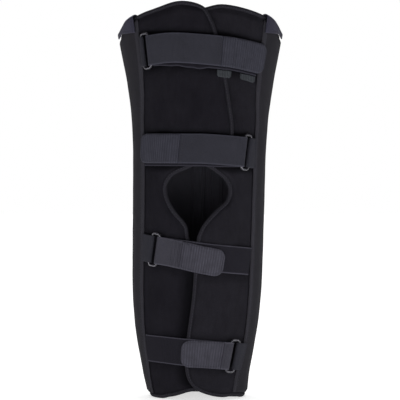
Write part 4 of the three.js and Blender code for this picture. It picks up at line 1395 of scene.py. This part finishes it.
def closure_tab(name, turn, width, drop):
    """End of a hook closure that peeps out under the thigh strap."""
    strap = STRAP_LAYOUTS[0]
    half = width / 2 / arc_per_degree(turn, strap.lower_at(turn) * LENGTH)
    down = np.linspace(0, 1, CLOSURE_GRID[1])[:, None]
    across = np.linspace(-1, 1, CLOSURE_GRID[0])[None]
    turns = turn + across * half * (1 - CLOSURE_TAPER * ease(down, *CLOSURE_TAPER_SPAN))
    z = strap.lower_at(turns) * LENGTH - strap.width / 2 - CLOSURE_TAB_GAP - down * drop
    seat = np.max(flap_top(turns, z)) + LAYER_GAP
    from_edge = np.minimum((1 - np.abs(across)) * width / 2, np.minimum(down, 1 - down) * drop)
    edge = ease(from_edge, 0, CLOSURE_EDGE_ROUND)
    ribs = RIB_HEIGHT * np.cos(2 * np.pi * across * width / 2 / HOOK_RIB) * edge
    outer = seat + CLOSURE_TAB_THICKNESS - CLOSURE_EDGE_DROP * (1 - edge) + ribs
    piece = shell(f"{name}_closure_hook", turns, z, seat, outer, [CLOSURE_HOOK])
    settle(piece, "hook_tape", f"closure_tab_{name}")


# Studio

def aimed(name, data, location, target):
    """A camera or light put at a place and turned to a target."""
    thing = bpy.data.objects.new(name, data)
    thing.location = location
    aim = np.asarray(target, float) - location
    pitch = math.atan2(aim[2], math.hypot(aim[0], aim[1]))
    thing.rotation_euler = (math.pi / 2 + pitch, 0, math.atan2(aim[1], aim[0]) - math.pi / 2)
    bpy.context.scene.collection.objects.link(thing)
    return thing


def photo_camera():
    """Level camera in front of the brace, as far off as the photo's seems to have been."""
    camera = bpy.data.cameras.new("photo_camera")
    camera.lens = FOCAL_PIXELS * SENSOR / PHOTO_SIDE
    camera.sensor_width = SENSOR
    camera.sensor_fit = "HORIZONTAL"
    eye = (np.array([0, -EYE_DISTANCE, EYE_HEIGHT]) + SHIFT) * MM
    bpy.context.scene.camera = aimed("photo_camera", camera, eye, eye + (0, 1, 0))


def light_table():
    """Floor that reaches so far that its edge is never seen."""
    corners = ((-1, -1), (1, -1), (1, 1), (-1, 1))
    points = [(x * FLOOR_REACH, y * FLOOR_REACH, 0) for x, y in corners]
    acrylic = frosted_acrylic("frosted acrylic light table", "#f2f2f2", "#efefef")
    floor = mesh_piece("paper_floor", points, [(0, 1, 2, 3)], [acrylic])


def lamps():
    """Low softboxes in front and at the sides, and a wide soft light from above."""
    for name, (location, target, size, power) in SOFTBOXES.items():
        light = bpy.data.lights.new(name, "AREA")
        light.shape = "RECTANGLE"
        light.size, light.size_y = size
        light.energy = power
        aimed(name, light, location, target).visible_camera = False
    ceiling = bpy.data.lights.new("ceiling", "SUN")
    ceiling.energy = CEILING_POWER
    ceiling.angle = math.radians(CEILING_SPREAD)
    lamp = bpy.data.objects.new("ceiling", ceiling)
    lamp.rotation_euler = (math.radians(CEILING_TILT), 0, 0)
    bpy.context.scene.collection.objects.link(lamp)


def white_room():
    """White where the camera sees it, and dim as a light."""
    world = bpy.data.worlds.new("white_room")
    world.use_nodes = True
    tree = world.node_tree
    tree.nodes.clear()
    seen = add(tree, "ShaderNodeBackground", {"Color": "#ffffff", "Strength": 1.0})
    soft = add(tree, "ShaderNodeBackground", {"Color": "#ffffff", "Strength": AMBIENT})
    ray = add(tree, "ShaderNodeLightPath").outputs["Is Camera Ray"]
    both = add(tree, "ShaderNodeMixShader", {0: ray, 1: soft.outputs[0], 2: seen.outputs[0]})
    add(tree, "ShaderNodeOutputWorld", {0: both.outputs[0]})
    bpy.context.scene.world = world
    bpy.context.scene.view_settings.view_transform = "Standard"


def brace():
    padded_back()
    bound_edge("back_lower_binding", "binding_back_bottom", hem_path(bottom_hem_at, 1), no_lift)
    bound_edge("back_upper_binding", "binding_back_top", hem_path(top_hem_at, -1), no_lift)
    for name, flap in (("left", LEFT_FLAP), ("right", RIGHT_FLAP)):
        path = flap_path(flap)
        padded_flap(f"{name}_flap", flap, path)
        bound_edge(f"{name}_binding", f"binding_{name}", path, partial(flap_lift, flap))
        side_band(name, flap["side"])
        band_cap(name, flap["side"])
    for name, values in BACK_CASINGS.items():
        back_casing(name, *values)
    for strap in STRAP_LAYOUTS:
        strap_piece(strap)
        hook_piece(strap)
        ring_piece(strap)
        tab_piece(strap)
    for name, values in CLOSURE_TABS.items():
        closure_tab(name, *values)


photo_camera()
light_table()
lamps()
white_room()
brace()
